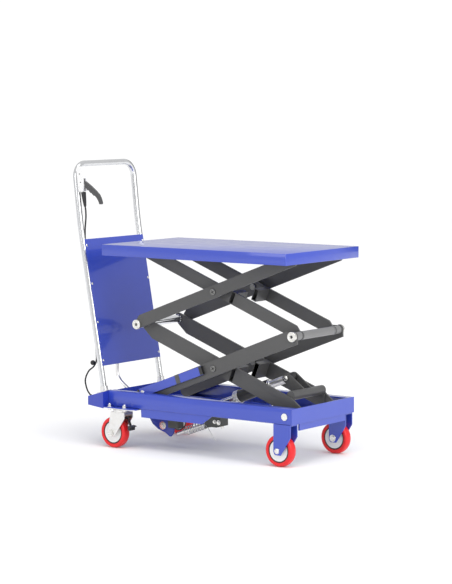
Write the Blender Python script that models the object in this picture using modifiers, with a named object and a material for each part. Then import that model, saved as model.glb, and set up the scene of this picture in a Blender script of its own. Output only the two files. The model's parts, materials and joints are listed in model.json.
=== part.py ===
"""Scissor lift table: a double-scissor hydraulic table on wheels, with a push handle.

The frame is in metres, +Z up, on the floor at the middle of the overall footprint.
+X is the front end, away from the handle. The right side is -Y, the left side +Y.
"""

import math

import bmesh
import bpy
from mathutils import Matrix, Vector

# ---- driving dimensions (metres) -------------------------------------------------

GAP = 0.0003                 # clearance left between two pieces that touch
TABLE_X = 0.102              # middle of the table along X

TABLE_LENGTH = 0.910
TABLE_WIDTH = 0.500
TABLE_TOP = 0.829
TABLE_SKIRT = 0.045
TABLE_SHEET = 0.003

PIVOT_FRONT = 0.424          # fixed pivots, forward of the table's middle
PIVOT_HEIGHT = 0.1993
ARM_REACH = 0.827            # between the end pivots of an arm
ARM_ANGLE = math.radians(21.583)
ARM_THICK = 0.008
INNER_FACE = 0.1162          # outward face of the inner arms
OUTER_FACE = 0.1606          # outward face of the outer arms
PIN_R = 0.009
SHAFT_R = 0.0125
BORE_GAP = 0.0003            # on the radius of every bore

BASE_HALF = 0.215            # outward face of the base rails
BASE_BOTTOM = 0.1685
BASE_TOP = 0.231
BASE_WALL = 0.005
BASE_FLANGE = 0.040
BASE_REAR = -0.455           # relative to the table's middle
BASE_FRONT = 0.453

WHEEL_R = 0.0635
FRONT_WHEEL_X = 0.388
FRONT_WHEEL_Y = 0.190
FRONT_WHEEL_W = 0.036
FORK_WALL = 0.005

SWIVEL_X = -0.388
SWIVEL_Y = 0.213
CASTER_TRAIL = 0.034
CASTER_WHEEL_W = 0.038
CASTER_PLATE_TOP = 0.1682
CASTER_PLATE_T = 0.006

HANDLE_R = 0.0125
HANDLE_HALF = 0.185
HANDLE_FOOT = (-0.5052, 0.237)
HANDLE_KNEE = (-0.6235, 0.900)
HANDLE_TOP = (-0.6495, 1.1475)
HANDLE_BEND = 0.058

ROLLER_BASE_R = 0.0255
ROLLER_TABLE_R = 0.018
ROLLER_BORE = 0.008

CYLINDER_FOOT = (-0.060, 0.180)
CYLINDER_PIN = (0.300, 0.320)
CYLINDER_R = 0.025
ROD_R = 0.014

SIDES = (("right", -1), ("left", 1))
ROUND = 20                   # facets of a plain round piece
SMALL_ROUND = 12

# ---- derived ---------------------------------------------------------------------

RISE = ARM_REACH * math.sin(ARM_ANGLE)
RUN = ARM_REACH * math.cos(ARM_ANGLE)
FRONT_X = TABLE_X + PIVOT_FRONT
REAR_X = FRONT_X - RUN
CENTRE_X = FRONT_X - RUN / 2
MID_Z = PIVOT_HEIGHT + RISE
TOP_Z = PIVOT_HEIGHT + 2 * RISE
DECK_UNDER = TABLE_TOP - TABLE_SHEET

BLUE = ("painted_blue", (0.030, 0.085, 0.430), 0.0, 0.38)
GREY = ("painted_grey", (0.115, 0.118, 0.122), 0.0, 0.45)
ZINC = ("zinc_plate", (0.60, 0.60, 0.58), 1.0, 0.34)
CHROME = ("chrome", (0.75, 0.76, 0.78), 1.0, 0.12)
BLACK = ("black_paint", (0.012, 0.012, 0.013), 0.0, 0.40)
RED = ("red_tread", (0.62, 0.015, 0.018), 0.0, 0.42)
RUBBER = ("black_plastic", (0.020, 0.020, 0.021), 0.0, 0.60)
TUBE = ("handle_chrome", (0.62, 0.62, 0.62), 1.0, 0.20)
STEEL = ("spring_steel", (0.35, 0.35, 0.36), 1.0, 0.35)


def clear_scene():
    """Remove everything the file opened with."""
    for obj in list(bpy.data.objects):
        bpy.data.objects.remove(obj, do_unlink=True)


clear_scene()
PARTS = bpy.data.collections.new("scissor_lift_table")
TOOLS = bpy.data.collections.new("shaping_tools")
bpy.context.scene.collection.children.link(PARTS)
bpy.context.scene.collection.children.link(TOOLS)
TOOLS.hide_render = True


def at_x(offset):
    """Station along X measured from the table's middle."""
    return TABLE_X + offset


def paint(obj, finish):
    """Give the object a material of its own in this finish."""
    slot, colour, metallic, roughness = finish
    material = bpy.data.materials.new(obj.name + "_" + slot)
    material.use_nodes = True
    shader = material.node_tree.nodes["Principled BSDF"]
    shader.inputs["Base Color"].default_value = (*colour, 1.0)
    shader.inputs["Metallic"].default_value = metallic
    shader.inputs["Roughness"].default_value = roughness
    material.diffuse_color = (*colour, 1.0)
    obj.data.materials.clear()
    obj.data.materials.append(material)


def smooth(mesh, degrees=35):
    """Shade round faces smooth and keep the edges between flat faces sharp."""
    limit = math.radians(degrees)
    work = bmesh.new()
    work.from_mesh(mesh)
    for face in work.faces:
        face.smooth = True
    for edge in work.edges:
        if len(edge.link_faces) == 2:
            edge.smooth = edge.calc_face_angle(0.0) < limit
        else:
            edge.smooth = False
    work.to_mesh(mesh)
    work.free()


def finish_mesh(name, work, origin=(0.0, 0.0, 0.0), finish=None):
    """Turn world-space geometry into a named object with its origin where it turns."""
    bmesh.ops.recalc_face_normals(work, faces=work.faces)
    bmesh.ops.translate(work, vec=-Vector(origin), verts=work.verts)
    mesh = bpy.data.meshes.new(name)
    work.to_mesh(mesh)
    work.free()
    smooth(mesh)
    obj = bpy.data.objects.new(name, mesh)
    obj.location = origin
    if finish is None:
        TOOLS.objects.link(obj)
        obj.hide_render = True
        obj.display_type = "WIRE"
    else:
        PARTS.objects.link(obj)
        paint(obj, finish)
    return obj


def combine(obj, operation, tool):
    """Cut or join a hidden tool by an exact Boolean."""
    modifier = obj.modifiers.new(operation.lower() + "_" + tool.name, "BOOLEAN")
    modifier.operation = operation
    modifier.solver = "EXACT"
    modifier.object = tool
    return obj


def cut(obj, *tools):
    """Take the tools away from the object."""
    for tool in tools:
        combine(obj, "DIFFERENCE", tool)
    return obj


def join(obj, *tools):
    """Weld the tools to the object."""
    for tool in tools:
        combine(obj, "UNION", tool)
    return obj


def box(name, low, high, origin=(0.0, 0.0, 0.0), finish=None):
    """Block between two corners."""
    work = bmesh.new()
    bmesh.ops.create_cube(work, size=1.0)
    low = Vector(low)
    high = Vector(high)
    size = high - low
    bmesh.ops.scale(work, vec=size, verts=work.verts)
    bmesh.ops.translate(work, vec=(low + high) / 2, verts=work.verts)
    return finish_mesh(name, work, origin, finish)


def prism(name, outline, axis, start, end, origin=(0.0, 0.0, 0.0), finish=None):
    """Outline drawn square to an axis and drawn out between two stations on it."""
    work = bmesh.new()
    verts = []
    for first, second in outline:
        if axis == "X":
            spot = (start, first, second)
        elif axis == "Y":
            spot = (first, start, second)
        else:
            spot = (first, second, start)
        verts.append(work.verts.new(spot))
    face = work.faces.new(verts)
    grown = bmesh.ops.extrude_face_region(work, geom=[face])
    moved = [item for item in grown["geom"] if isinstance(item, bmesh.types.BMVert)]
    step = {"X": (end - start, 0, 0), "Y": (0, end - start, 0), "Z": (0, 0, end - start)}
    bmesh.ops.translate(work, vec=step[axis], verts=moved)
    return finish_mesh(name, work, origin, finish)


def rod(name, start, end, radius, facets=ROUND, origin=(0.0, 0.0, 0.0), finish=None):
    """Round bar between two points."""
    work = bmesh.new()
    start = Vector(start)
    end = Vector(end)
    length = (end - start).length
    turn = Vector((0, 0, 1)).rotation_difference((end - start).normalized())
    place = Matrix.Translation((start + end) / 2) @ turn.to_matrix().to_4x4()
    bmesh.ops.create_cone(
        work, cap_ends=True, segments=facets, radius1=radius, radius2=radius,
        depth=length, matrix=place)
    return finish_mesh(name, work, origin, finish)


def turned(name, profile, centre, axis="Y", facets=ROUND, closed=False, finish=None):
    """Piece turned about an axis from (radius, station) points, top station first."""
    mesh = bpy.data.meshes.new(name)
    work = bmesh.new()
    verts = [work.verts.new((radius, 0.0, station)) for radius, station in profile]
    for first, second in zip(verts, verts[1:]):
        work.edges.new((first, second))
    if closed:
        work.edges.new((verts[-1], verts[0]))
    work.to_mesh(mesh)
    work.free()
    obj = bpy.data.objects.new(name, mesh)
    screw = obj.modifiers.new("turn", "SCREW")
    screw.steps = facets
    screw.render_steps = facets
    screw.use_merge_vertices = True
    screw.merge_threshold = 1e-5
    screw.use_smooth_shade = True
    obj.location = centre
    if axis == "Y":
        obj.rotation_euler = (-math.pi / 2, 0.0, 0.0)
    elif axis == "X":
        obj.rotation_euler = (0.0, math.pi / 2, 0.0)
    if finish is None:
        TOOLS.objects.link(obj)
        obj.hide_render = True
        obj.display_type = "WIRE"
    else:
        PARTS.objects.link(obj)
        paint(obj, finish)
    return obj


def tube(name, points, radius, resolution=2, finish=None):
    """Round section drawn along a path of points, with closed ends."""
    curve = bpy.data.curves.new(name, "CURVE")
    curve.dimensions = "3D"
    curve.bevel_depth = radius
    curve.bevel_resolution = resolution
    curve.use_fill_caps = True
    spline = curve.splines.new("POLY")
    spline.points.add(len(points) - 1)
    for point, spot in zip(spline.points, points):
        point.co = (*spot, 1.0)
    spline.use_smooth = True
    obj = bpy.data.objects.new(name, curve)
    if finish is not None:
        PARTS.objects.link(obj)
        paint(obj, finish)
        return obj
    TOOLS.objects.link(obj)
    bpy.context.view_layer.update()
    graph = bpy.context.evaluated_depsgraph_get()
    mesh = bpy.data.meshes.new_from_object(obj.evaluated_get(graph))
    work = bmesh.new()
    work.from_mesh(mesh)
    bmesh.ops.remove_doubles(work, verts=work.verts, dist=1e-6)
    work.to_mesh(mesh)
    work.free()
    bpy.data.objects.remove(obj, do_unlink=True)
    solid = bpy.data.objects.new(name, mesh)
    TOOLS.objects.link(solid)
    solid.hide_render = True
    solid.display_type = "WIRE"
    return solid


def arc(centre, radius, start, end, steps):
    """Points on an arc, angles in degrees."""
    points = []
    for index in range(steps + 1):
        angle = math.radians(start + (end - start) * index / steps)
        points.append((centre[0] + radius * math.cos(angle),
                       centre[1] + radius * math.sin(angle)))
    return points


def smooth_route(knots, spacing):
    """Evenly spaced points on a smooth curve through the knots."""
    knots = [Vector(knot) for knot in knots]
    padded = [2 * knots[0] - knots[1], *knots, 2 * knots[-1] - knots[-2]]
    dense = []
    for index in range(1, len(padded) - 2):
        before, first, second, after = padded[index - 1:index + 3]
        for step in range(24):
            t = step / 24
            dense.append(0.5 * (
                2 * first + (second - before) * t
                + (2 * before - 5 * first + 4 * second - after) * t ** 2
                + (3 * first - before - 3 * second + after) * t ** 3))
    dense.append(knots[-1])
    length = sum((b - a).length for a, b in zip(dense, dense[1:]))
    count = max(2, round(length / spacing))
    spots = [dense[0]]
    walked = 0.0
    target = length / count
    for first, second in zip(dense, dense[1:]):
        step = (second - first).length
        while walked + step >= target and len(spots) < count:
            share = (target - walked) / step
            spots.append(first + (second - first) * share)
            target += length / count
        walked += step
    spots.append(dense[-1])
    return spots


# ---- base ------------------------------------------------------------------------

def rail_section(sign):
    """Channel section of a base rail, open toward the middle, outer bends rounded."""
    out = BASE_HALF
    bend = 0.004
    section = [(out - BASE_FLANGE, BASE_BOTTOM), (out - bend, BASE_BOTTOM)]
    section.append((out - bend * 0.3, BASE_BOTTOM + bend * 0.3))
    section.append((out, BASE_BOTTOM + bend))
    section.append((out, BASE_TOP - bend))
    section.append((out - bend * 0.3, BASE_TOP - bend * 0.3))
    section.append((out - bend, BASE_TOP))
    section.append((out - BASE_FLANGE, BASE_TOP))
    section.append((out - BASE_FLANGE, BASE_TOP - BASE_WALL))
    section.append((out - BASE_WALL, BASE_TOP - BASE_WALL))
    section.append((out - BASE_WALL, BASE_BOTTOM + BASE_WALL))
    section.append((out - BASE_FLANGE, BASE_BOTTOM + BASE_WALL))
    return [(sign * y, z) for y, z in section]


def build_rails():
    """Side rails with the skirt plate under each web."""
    for side, sign in SIDES:
        name = "base_side_rail_" + side
        rail = prism(name, rail_section(sign), "X",
                     at_x(BASE_REAR), at_x(BASE_FRONT) - GAP, finish=BLUE)
        skirt = [(at_x(-0.291), BASE_BOTTOM + 0.002), (at_x(0.068), BASE_BOTTOM + 0.002),
                 (at_x(0.068), BASE_BOTTOM - 0.001), (at_x(0.020), 0.134),
                 (at_x(-0.288), 0.134)]
        face = sorted((sign * (BASE_HALF - 0.0090), sign * (BASE_HALF - 0.0050)))
        join(rail, prism(name + "_skirt", skirt, "Y", face[0], face[1]))
        cut(rail, rod(name + "_bore",
                      (FRONT_X, sign * (BASE_HALF + 0.01), PIVOT_HEIGHT),
                      (FRONT_X, sign * (BASE_HALF - 0.02), PIVOT_HEIGHT),
                      SHAFT_R + BORE_GAP))


def build_front_plate():
    """Front end plate with the recessed plate between the forks."""
    name = "base_front_plate"
    front = at_x(BASE_FRONT)
    plate = box(name, (front, -BASE_HALF, BASE_BOTTOM),
                (front + BASE_WALL, BASE_HALF, BASE_TOP), finish=BLUE)
    join(plate, box(name + "_lower", (front - 0.006, -0.1575, 0.142),
                    (front + 0.001, 0.1575, BASE_BOTTOM + 0.009)))


def build_forks():
    """Fixed forks of the front wheels, each with its axle bolt."""
    for side, sign in SIDES:
        name = "front_fork_" + side
        inner = 0.165
        outline = [(at_x(0.3706), 0.1682), (at_x(0.3706), 0.060),
                   (at_x(0.3745), 0.0505), (at_x(0.381), 0.047), (at_x(0.404), 0.047),
                   (at_x(0.450), 0.119), (at_x(0.450), 0.1682)]
        fork = prism(name, outline, "Y", sign * inner, sign * BASE_HALF, finish=BLUE)
        cut(fork, box(name + "_throat",
                      (at_x(0.360), min(sign * (inner + FORK_WALL),
                                        sign * (BASE_HALF - FORK_WALL)), 0.030),
                      (at_x(0.460), max(sign * (inner + FORK_WALL),
                                        sign * (BASE_HALF - FORK_WALL)), 0.163)))
        axle = [(0.0, 0.0305), (0.008, 0.0305), (0.011, 0.0285), (0.011, 0.0245),
                (0.008, 0.0245), (0.008, -0.0245), (0.011, -0.0245), (0.011, -0.0295),
                (0.0, -0.0295)]
        if sign < 0:
            axle = [(radius, -station) for radius, station in reversed(axle)]
        join(fork, turned(name + "_axle", axle,
                          (at_x(FRONT_WHEEL_X), sign * FRONT_WHEEL_Y, WHEEL_R),
                          facets=SMALL_ROUND))


def build_rear_crossmember():
    """Tapered sheet box behind the rails, open underneath, with the pedal's slot."""
    name = "base_rear_crossmember"
    front = at_x(BASE_REAR) - GAP
    rear = at_x(-0.575)

    def wedge(label, inset, low, finish=None):
        work = bmesh.new()
        for x, half, top in ((front - inset, 0.250 - inset * 1.4, 0.229 - inset),
                             (rear + inset, 0.204 - inset, 0.197 - inset)):
            for y in (-half, half):
                for z in (low, top):
                    work.verts.new((x, y, z))
        bmesh.ops.convex_hull(work, input=work.verts)
        bmesh.ops.dissolve_limit(work, angle_limit=0.01, verts=work.verts,
                                 edges=work.edges)
        return finish_mesh(label, work, finish=finish)

    shell = wedge(name, 0.0, 0.161, BLUE)
    cut(shell, wedge(name + "_hollow", 0.003, 0.150))
    for label, y in (("a", 0.019), ("b", -0.019)):
        ear = [(at_x(-0.505), 0.172), (at_x(-0.478), 0.172), (at_x(-0.478), 0.2215),
               (at_x(-0.505), 0.2145)]
        join(shell, prism(name + "_ear_" + label, ear, "Y", y - 0.003, y + 0.003))
    join(shell, rod(name + "_pin", (at_x(-0.490), -0.0225, 0.185),
                    (at_x(-0.490), 0.0225, 0.185), 0.005, SMALL_ROUND))
    cut(shell, box(name + "_slot", (at_x(-0.567), -0.012, 0.180),
                   (at_x(-0.512), 0.012, 0.240)))


def build_caster_plates():
    """Mounting plates of the rear casters."""
    for side, sign in SIDES:
        outline = [(at_x(-0.4547), 0.176), (at_x(-0.299), 0.176), (at_x(-0.299), 0.240),
                   (at_x(-0.309), 0.250), (at_x(-0.4547), 0.250)]
        outline = [(x, sign * y) for x, y in outline]
        prism("caster_plate_" + side, outline, "Z", CASTER_PLATE_TOP - CASTER_PLATE_T,
              CASTER_PLATE_TOP, finish=ZINC)


def build_front_pivot():
    """Fixed shaft that the lower inner arms turn on."""
    half = [(0.0, 0.2190), (0.014, 0.2190), (0.014, BASE_HALF + GAP),
            (SHAFT_R, BASE_HALF + GAP), (SHAFT_R, INNER_FACE - ARM_THICK - GAP),
            (0.016, INNER_FACE - ARM_THICK - GAP), (0.016, 0.098), (SHAFT_R, 0.098)]
    profile = half + [(radius, -station) for radius, station in reversed(half)]
    turned("base_front_pivot_shaft", profile, (FRONT_X, 0.0, PIVOT_HEIGHT),
           facets=16, finish=ZINC)


# ---- handle ----------------------------------------------------------------------

def handle_slope():
    """Direction of the handle's lower straight run in the XZ plane."""
    run = Vector((HANDLE_KNEE[0] - HANDLE_FOOT[0], HANDLE_KNEE[1] - HANDLE_FOOT[1]))
    return run.normalized()


def handle_at(height):
    """X of the handle tube's centreline at a height, up to the knee."""
    share = (height - HANDLE_FOOT[1]) / (HANDLE_KNEE[1] - HANDLE_FOOT[1])
    return at_x(HANDLE_FOOT[0] + share * (HANDLE_KNEE[0] - HANDLE_FOOT[0]))


def build_handle():
    """Bent push tube and the sockets it stands in."""
    way = handle_slope()
    foot = Vector((at_x(HANDLE_FOOT[0]), 0.0, HANDLE_FOOT[1]))
    foot = foot - Vector((way.x, 0.0, way.y)) * 0.010
    top = Vector((at_x(HANDLE_TOP[0]), 0.0, HANDLE_TOP[1]))
    knee = Vector((at_x(HANDLE_KNEE[0]), 0.0, HANDLE_KNEE[1]))
    low = (knee - foot).normalized()
    high = (top - knee).normalized()
    half = [foot - Vector((0.0, HANDLE_HALF, 0.0))]
    reach = 0.045
    for step in range(5):
        t = step / 4
        spot = ((1 - t) ** 2 * (knee - low * reach) + 2 * t * (1 - t) * knee
                + t ** 2 * (knee + high * reach))
        half.append(spot - Vector((0.0, HANDLE_HALF, 0.0)))
    for step in range(7):
        angle = math.pi / 2 * step / 6
        inward = HANDLE_BEND * (1 - math.cos(angle))
        up = HANDLE_BEND * (1 - math.sin(angle))
        half.append(top - high * up - Vector((0.0, HANDLE_HALF - inward, 0.0)))
    other = [Vector((spot.x, -spot.y, spot.z)) for spot in reversed(half)]
    tube("handle_tube", half + other, HANDLE_R, 3, finish=TUBE)
    tilt = Vector((way.x, 0.0, way.y))
    for side, sign in SIDES:
        name = "handle_bracket_" + side
        y = sign * HANDLE_HALF
        slope = (0.229 - 0.197) / 0.120

        def deck(x):
            return 0.229 + (x - BASE_REAR) * slope + GAP * 1.1

        outline = [(at_x(-0.530), deck(-0.530)), (at_x(-0.480), deck(-0.480)),
                   (at_x(-0.480), deck(-0.480) + 0.005),
                   (at_x(-0.530), deck(-0.530) + 0.005)]
        bracket = prism(name, outline, "Y", y - 0.018, y + 0.018, finish=ZINC)
        base = foot + Vector((0.0, y, 0.0))
        join(bracket, rod(name + "_socket", base - tilt * 0.0075, base + tilt * 0.014,
                          0.0165))
        cut(bracket, rod(name + "_bore", base - tilt * 0.0005, base + tilt * 0.03,
                         HANDLE_R + BORE_GAP))


def build_panel():
    """Sheet panel on the front of the handle tubes, flanged top and bottom."""
    way = handle_slope()
    ahead = Vector((way.y, -way.x))
    near = HANDLE_R + GAP
    far = near + 0.002
    lip = 0.012

    def spot(height, off):
        base = Vector((handle_at(height), height))
        point = base + ahead * off
        return (point.x, point.y)

    low = 0.322
    high = 0.838
    outline = [spot(low, far), spot(high, far), spot(high, near - lip),
               spot(high - 0.002, near - lip), spot(high - 0.002, near),
               spot(low + 0.002, near), spot(low + 0.002, near - lip),
               spot(low, near - lip)]
    panel = prism("handle_panel", outline, "Y", -0.188, 0.188, finish=BLUE)
    for side, sign in SIDES:
        notch = [spot(low - 0.02, near), spot(high + 0.02, near),
                 spot(high + 0.02, near - 0.03), spot(low - 0.02, near - 0.03)]
        ends = sorted((sign * 0.168, sign * 0.200))
        cut(panel, prism("handle_panel_notch_" + side, notch, "Y", ends[0], ends[1]))


def build_release():
    """Housing, hand lever and cable of the lowering valve, on the right-hand tube."""
    base = Vector((at_x(-0.6161), 0.0, 1.086))
    way = Vector((HANDLE_TOP[0] - HANDLE_KNEE[0], 0.0,
                  HANDLE_TOP[1] - HANDLE_KNEE[1])).normalized()
    ahead = Vector((way.z, 0.0, -way.x))

    def spot(along, off):
        point = base + way * along + ahead * off
        return (point.x, point.z)

    outline = [spot(-0.051, -0.010), spot(-0.051, 0.011), spot(-0.030, 0.016),
               spot(0.036, 0.016), spot(0.051, 0.008), spot(0.051, -0.010),
               spot(0.044, -0.014), spot(-0.044, -0.014)]
    housing = prism("lever_housing", outline, "Y", -0.1945, -0.1705, finish=ZINC)
    pivot = Vector((at_x(-0.612), -0.1825, 1.073))
    cut(housing, box("lever_housing_slot", (pivot.x - 0.013, pivot.y - 0.0062,
                                            pivot.z - 0.034),
                     (pivot.x + 0.040, pivot.y + 0.0062, pivot.z + 0.016)))
    join(housing, rod("lever_housing_pin", (pivot.x, pivot.y - 0.0080, pivot.z),
                      (pivot.x, pivot.y + 0.0080, pivot.z), 0.003, SMALL_ROUND))
    upper = [(-0.004, 0.009), (0.020, 0.003), (0.048, -0.0145), (0.073, -0.033),
             (0.090, -0.048), (0.099, -0.063), (0.105, -0.080), (0.104, -0.087)]
    lower = [(0.094, -0.0875), (0.087, -0.073), (0.078, -0.061), (0.066, -0.0505),
             (0.0635, -0.0535), (0.056, -0.0470), (0.050, -0.0400),
             (0.0475, -0.0430), (0.040, -0.0360), (0.034, -0.0295),
             (0.0315, -0.0325), (0.022, -0.0235), (0.010, -0.012), (-0.003, -0.010),
             (-0.009, -0.004), (-0.009, 0.004)]
    outline = [(pivot.x + x, pivot.z + z) for x, z in upper + lower]
    lever = prism("release_lever", outline, "Y", pivot.y - 0.0055, pivot.y + 0.0055,
                  tuple(pivot), BLACK)
    cut(lever, rod("release_lever_bore", (pivot.x, pivot.y - 0.02, pivot.z),
                   (pivot.x, pivot.y + 0.02, pivot.z), 0.003 + BORE_GAP))
    start = spot(-0.0522, 0.0)
    knots = [(start[0], -0.179, start[1]), (at_x(-0.606), -0.176, 0.985),
             (at_x(-0.605), -0.171, 0.936), (at_x(-0.619), -0.161, 0.842),
             (at_x(-0.605), -0.155, 0.640), (at_x(-0.578), -0.155, 0.440),
             (at_x(-0.566), -0.158, 0.350), (at_x(-0.578), -0.160, 0.316),
             (at_x(-0.608), -0.160, 0.292), (at_x(-0.626), -0.160, 0.255),
             (at_x(-0.618), -0.160, 0.218), (at_x(-0.602), -0.160, 0.197),
             (at_x(-0.5800), -0.160, 0.184)]
    tube("release_cable", smooth_route(knots, 0.021), 0.0035, 1, finish=RUBBER)


def build_pedal():
    """Foot pump lever with its tread, hinged inside the rear box."""
    pivot = Vector((at_x(-0.490), 0.0, 0.185))
    name = "pump_pedal_lever"
    hub = [(0.012, 0.0157), (0.012, -0.0157), (0.005 + BORE_GAP, -0.0157),
           (0.005 + BORE_GAP, 0.0157)]
    lever = turned(name, hub, tuple(pivot), closed=True, facets=SMALL_ROUND, finish=ZINC)
    knots = [(at_x(-0.499), 0.0, 0.190), (at_x(-0.536), 0.0, 0.2135),
             (at_x(-0.572), 0.0, 0.240), (at_x(-0.587), 0.0, 0.268),
             (at_x(-0.587), 0.0, 0.310), (at_x(-0.590), 0.0, 0.352)]
    join(lever, tube(name + "_stem", smooth_route(knots, 0.020), 0.0075, 2))
    join(lever, box(name + "_tread", (at_x(-0.601), -0.045, 0.347),
                    (at_x(-0.579), 0.045, 0.362)))


# ---- pump ------------------------------------------------------------------------

PUMP_Y = -0.090
PUMP_LOW = Vector((-0.154 + TABLE_X, PUMP_Y, 0.075))
PUMP_HIGH = Vector((-0.037 + TABLE_X, PUMP_Y, 0.118))


def build_pump():
    """Foot pump under the base: mount, casting, reservoir, plunger and spring."""
    name = "pump_mount"
    mount = box(name, (at_x(-0.285), -0.2055, 0.136), (at_x(-0.235), 0.2055, 0.1675),
                finish=BLUE)
    cut(mount, box(name + "_channel", (at_x(-0.281), -0.230, 0.130),
                   (at_x(-0.239), 0.230, 0.1635)))
    for label, sign in (("a", 1), ("b", -1)):
        cheek = [(at_x(-0.270), 0.1385), (at_x(-0.034), 0.1385), (at_x(-0.034), 0.192),
                 (at_x(-0.041), 0.192), (at_x(-0.041), 0.172), (at_x(-0.047), 0.163),
                 (at_x(-0.060), 0.160), (at_x(-0.073), 0.163), (at_x(-0.079), 0.172),
                 (at_x(-0.079), 0.192), (at_x(-0.086), 0.192), (at_x(-0.100), 0.1655),
                 (at_x(-0.270), 0.1655)]
        ends = sorted((sign * 0.030, sign * 0.036))
        join(mount, prism(name + "_cheek_" + label, cheek, "Y", ends[0], ends[1]))
    hanger = [(at_x(-0.336), 0.128), (at_x(-0.290), 0.1655), (at_x(-0.1505), 0.1655),
              (at_x(-0.1505), 0.142), (at_x(-0.205), 0.128), (at_x(-0.217), 0.060),
              (at_x(-0.2295), 0.046), (at_x(-0.2360), 0.046), (at_x(-0.257), 0.0593),
              (at_x(-0.2945), 0.0717), (at_x(-0.3225), 0.0895), (at_x(-0.3380), 0.112)]
    join(mount, prism(name + "_hanger", hanger, "Y", PUMP_Y - 0.004, PUMP_Y + 0.004))
    join(mount, box(name + "_clevis", (at_x(-0.2320), PUMP_Y - 0.018, 0.0840),
                    (at_x(-0.1800), PUMP_Y + 0.018, 0.1320)))

    axis = (PUMP_HIGH - PUMP_LOW).normalized()
    outline = [(at_x(-0.040), 0.101), (at_x(-0.006), 0.108), (at_x(0.020), 0.108),
               (at_x(0.020), 0.114), (at_x(0.041), 0.114), (at_x(0.041), 0.150),
               (at_x(0.012), 0.150), (at_x(0.012), 0.158), (at_x(-0.040), 0.158)]
    body = prism("pump_body", outline, "Y", PUMP_Y - 0.025, PUMP_Y + 0.025, finish=GREY)
    cut(body, rod("pump_body_bore", PUMP_HIGH - axis * 0.030, PUMP_HIGH + axis * 0.045,
                  0.0085))
    box("pump_reservoir", (at_x(-0.150), PUMP_Y - 0.030, 0.1405),
        (at_x(-0.040) - GAP, PUMP_Y + 0.030, 0.1665), finish=BLACK)
    plunger = rod("pump_plunger", PUMP_LOW - axis * 0.045, PUMP_HIGH + axis * 0.010,
                  0.008, SMALL_ROUND, tuple(PUMP_LOW), ZINC)
    join(plunger, rod("pump_plunger_collar", PUMP_LOW - axis * 0.008,
                      PUMP_LOW - axis * 0.002, 0.0125, SMALL_ROUND))

    coils = 7
    per_coil = 9
    side = Vector((0.0, 1.0, 0.0))
    up = axis.cross(side)
    spots = []
    length = (PUMP_HIGH - PUMP_LOW).length
    first = 0.001
    last = length - 0.0155
    for index in range(coils * per_coil + 1):
        share = index / (coils * per_coil)
        angle = 2 * math.pi * index / per_coil
        centre = PUMP_LOW + axis * (first + (last - first) * share)
        spots.append(centre + side * (0.0165 * math.cos(angle))
                     + up * (0.0165 * math.sin(angle)))
    tube("pump_spring", spots, 0.0025, 1, finish=STEEL)


# ---- rolling gear ----------------------------------------------------------------

def wheel_profile(half, boss):
    """Half section of a wheel: tread with a crown, recessed disc, hub and bore."""
    bore = 0.008 + BORE_GAP
    return [(bore, boss), (0.017, boss), (0.019, half - 0.004), (0.047, half - 0.004),
            (0.048, half), (0.0590, half), (WHEEL_R, half - 0.008),
            (WHEEL_R, -(half - 0.008)), (0.0590, -half), (0.048, -half),
            (0.047, -(half - 0.004)), (0.019, -(half - 0.004)), (0.017, -boss),
            (bore, -boss)]


def build_front_wheels():
    """Fixed front wheels."""
    for side, sign in SIDES:
        turned("front_wheel_" + side, wheel_profile(FRONT_WHEEL_W / 2, 0.0192),
               (at_x(FRONT_WHEEL_X), sign * FRONT_WHEEL_Y, WHEEL_R), closed=True,
               facets=24, finish=RED)


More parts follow.
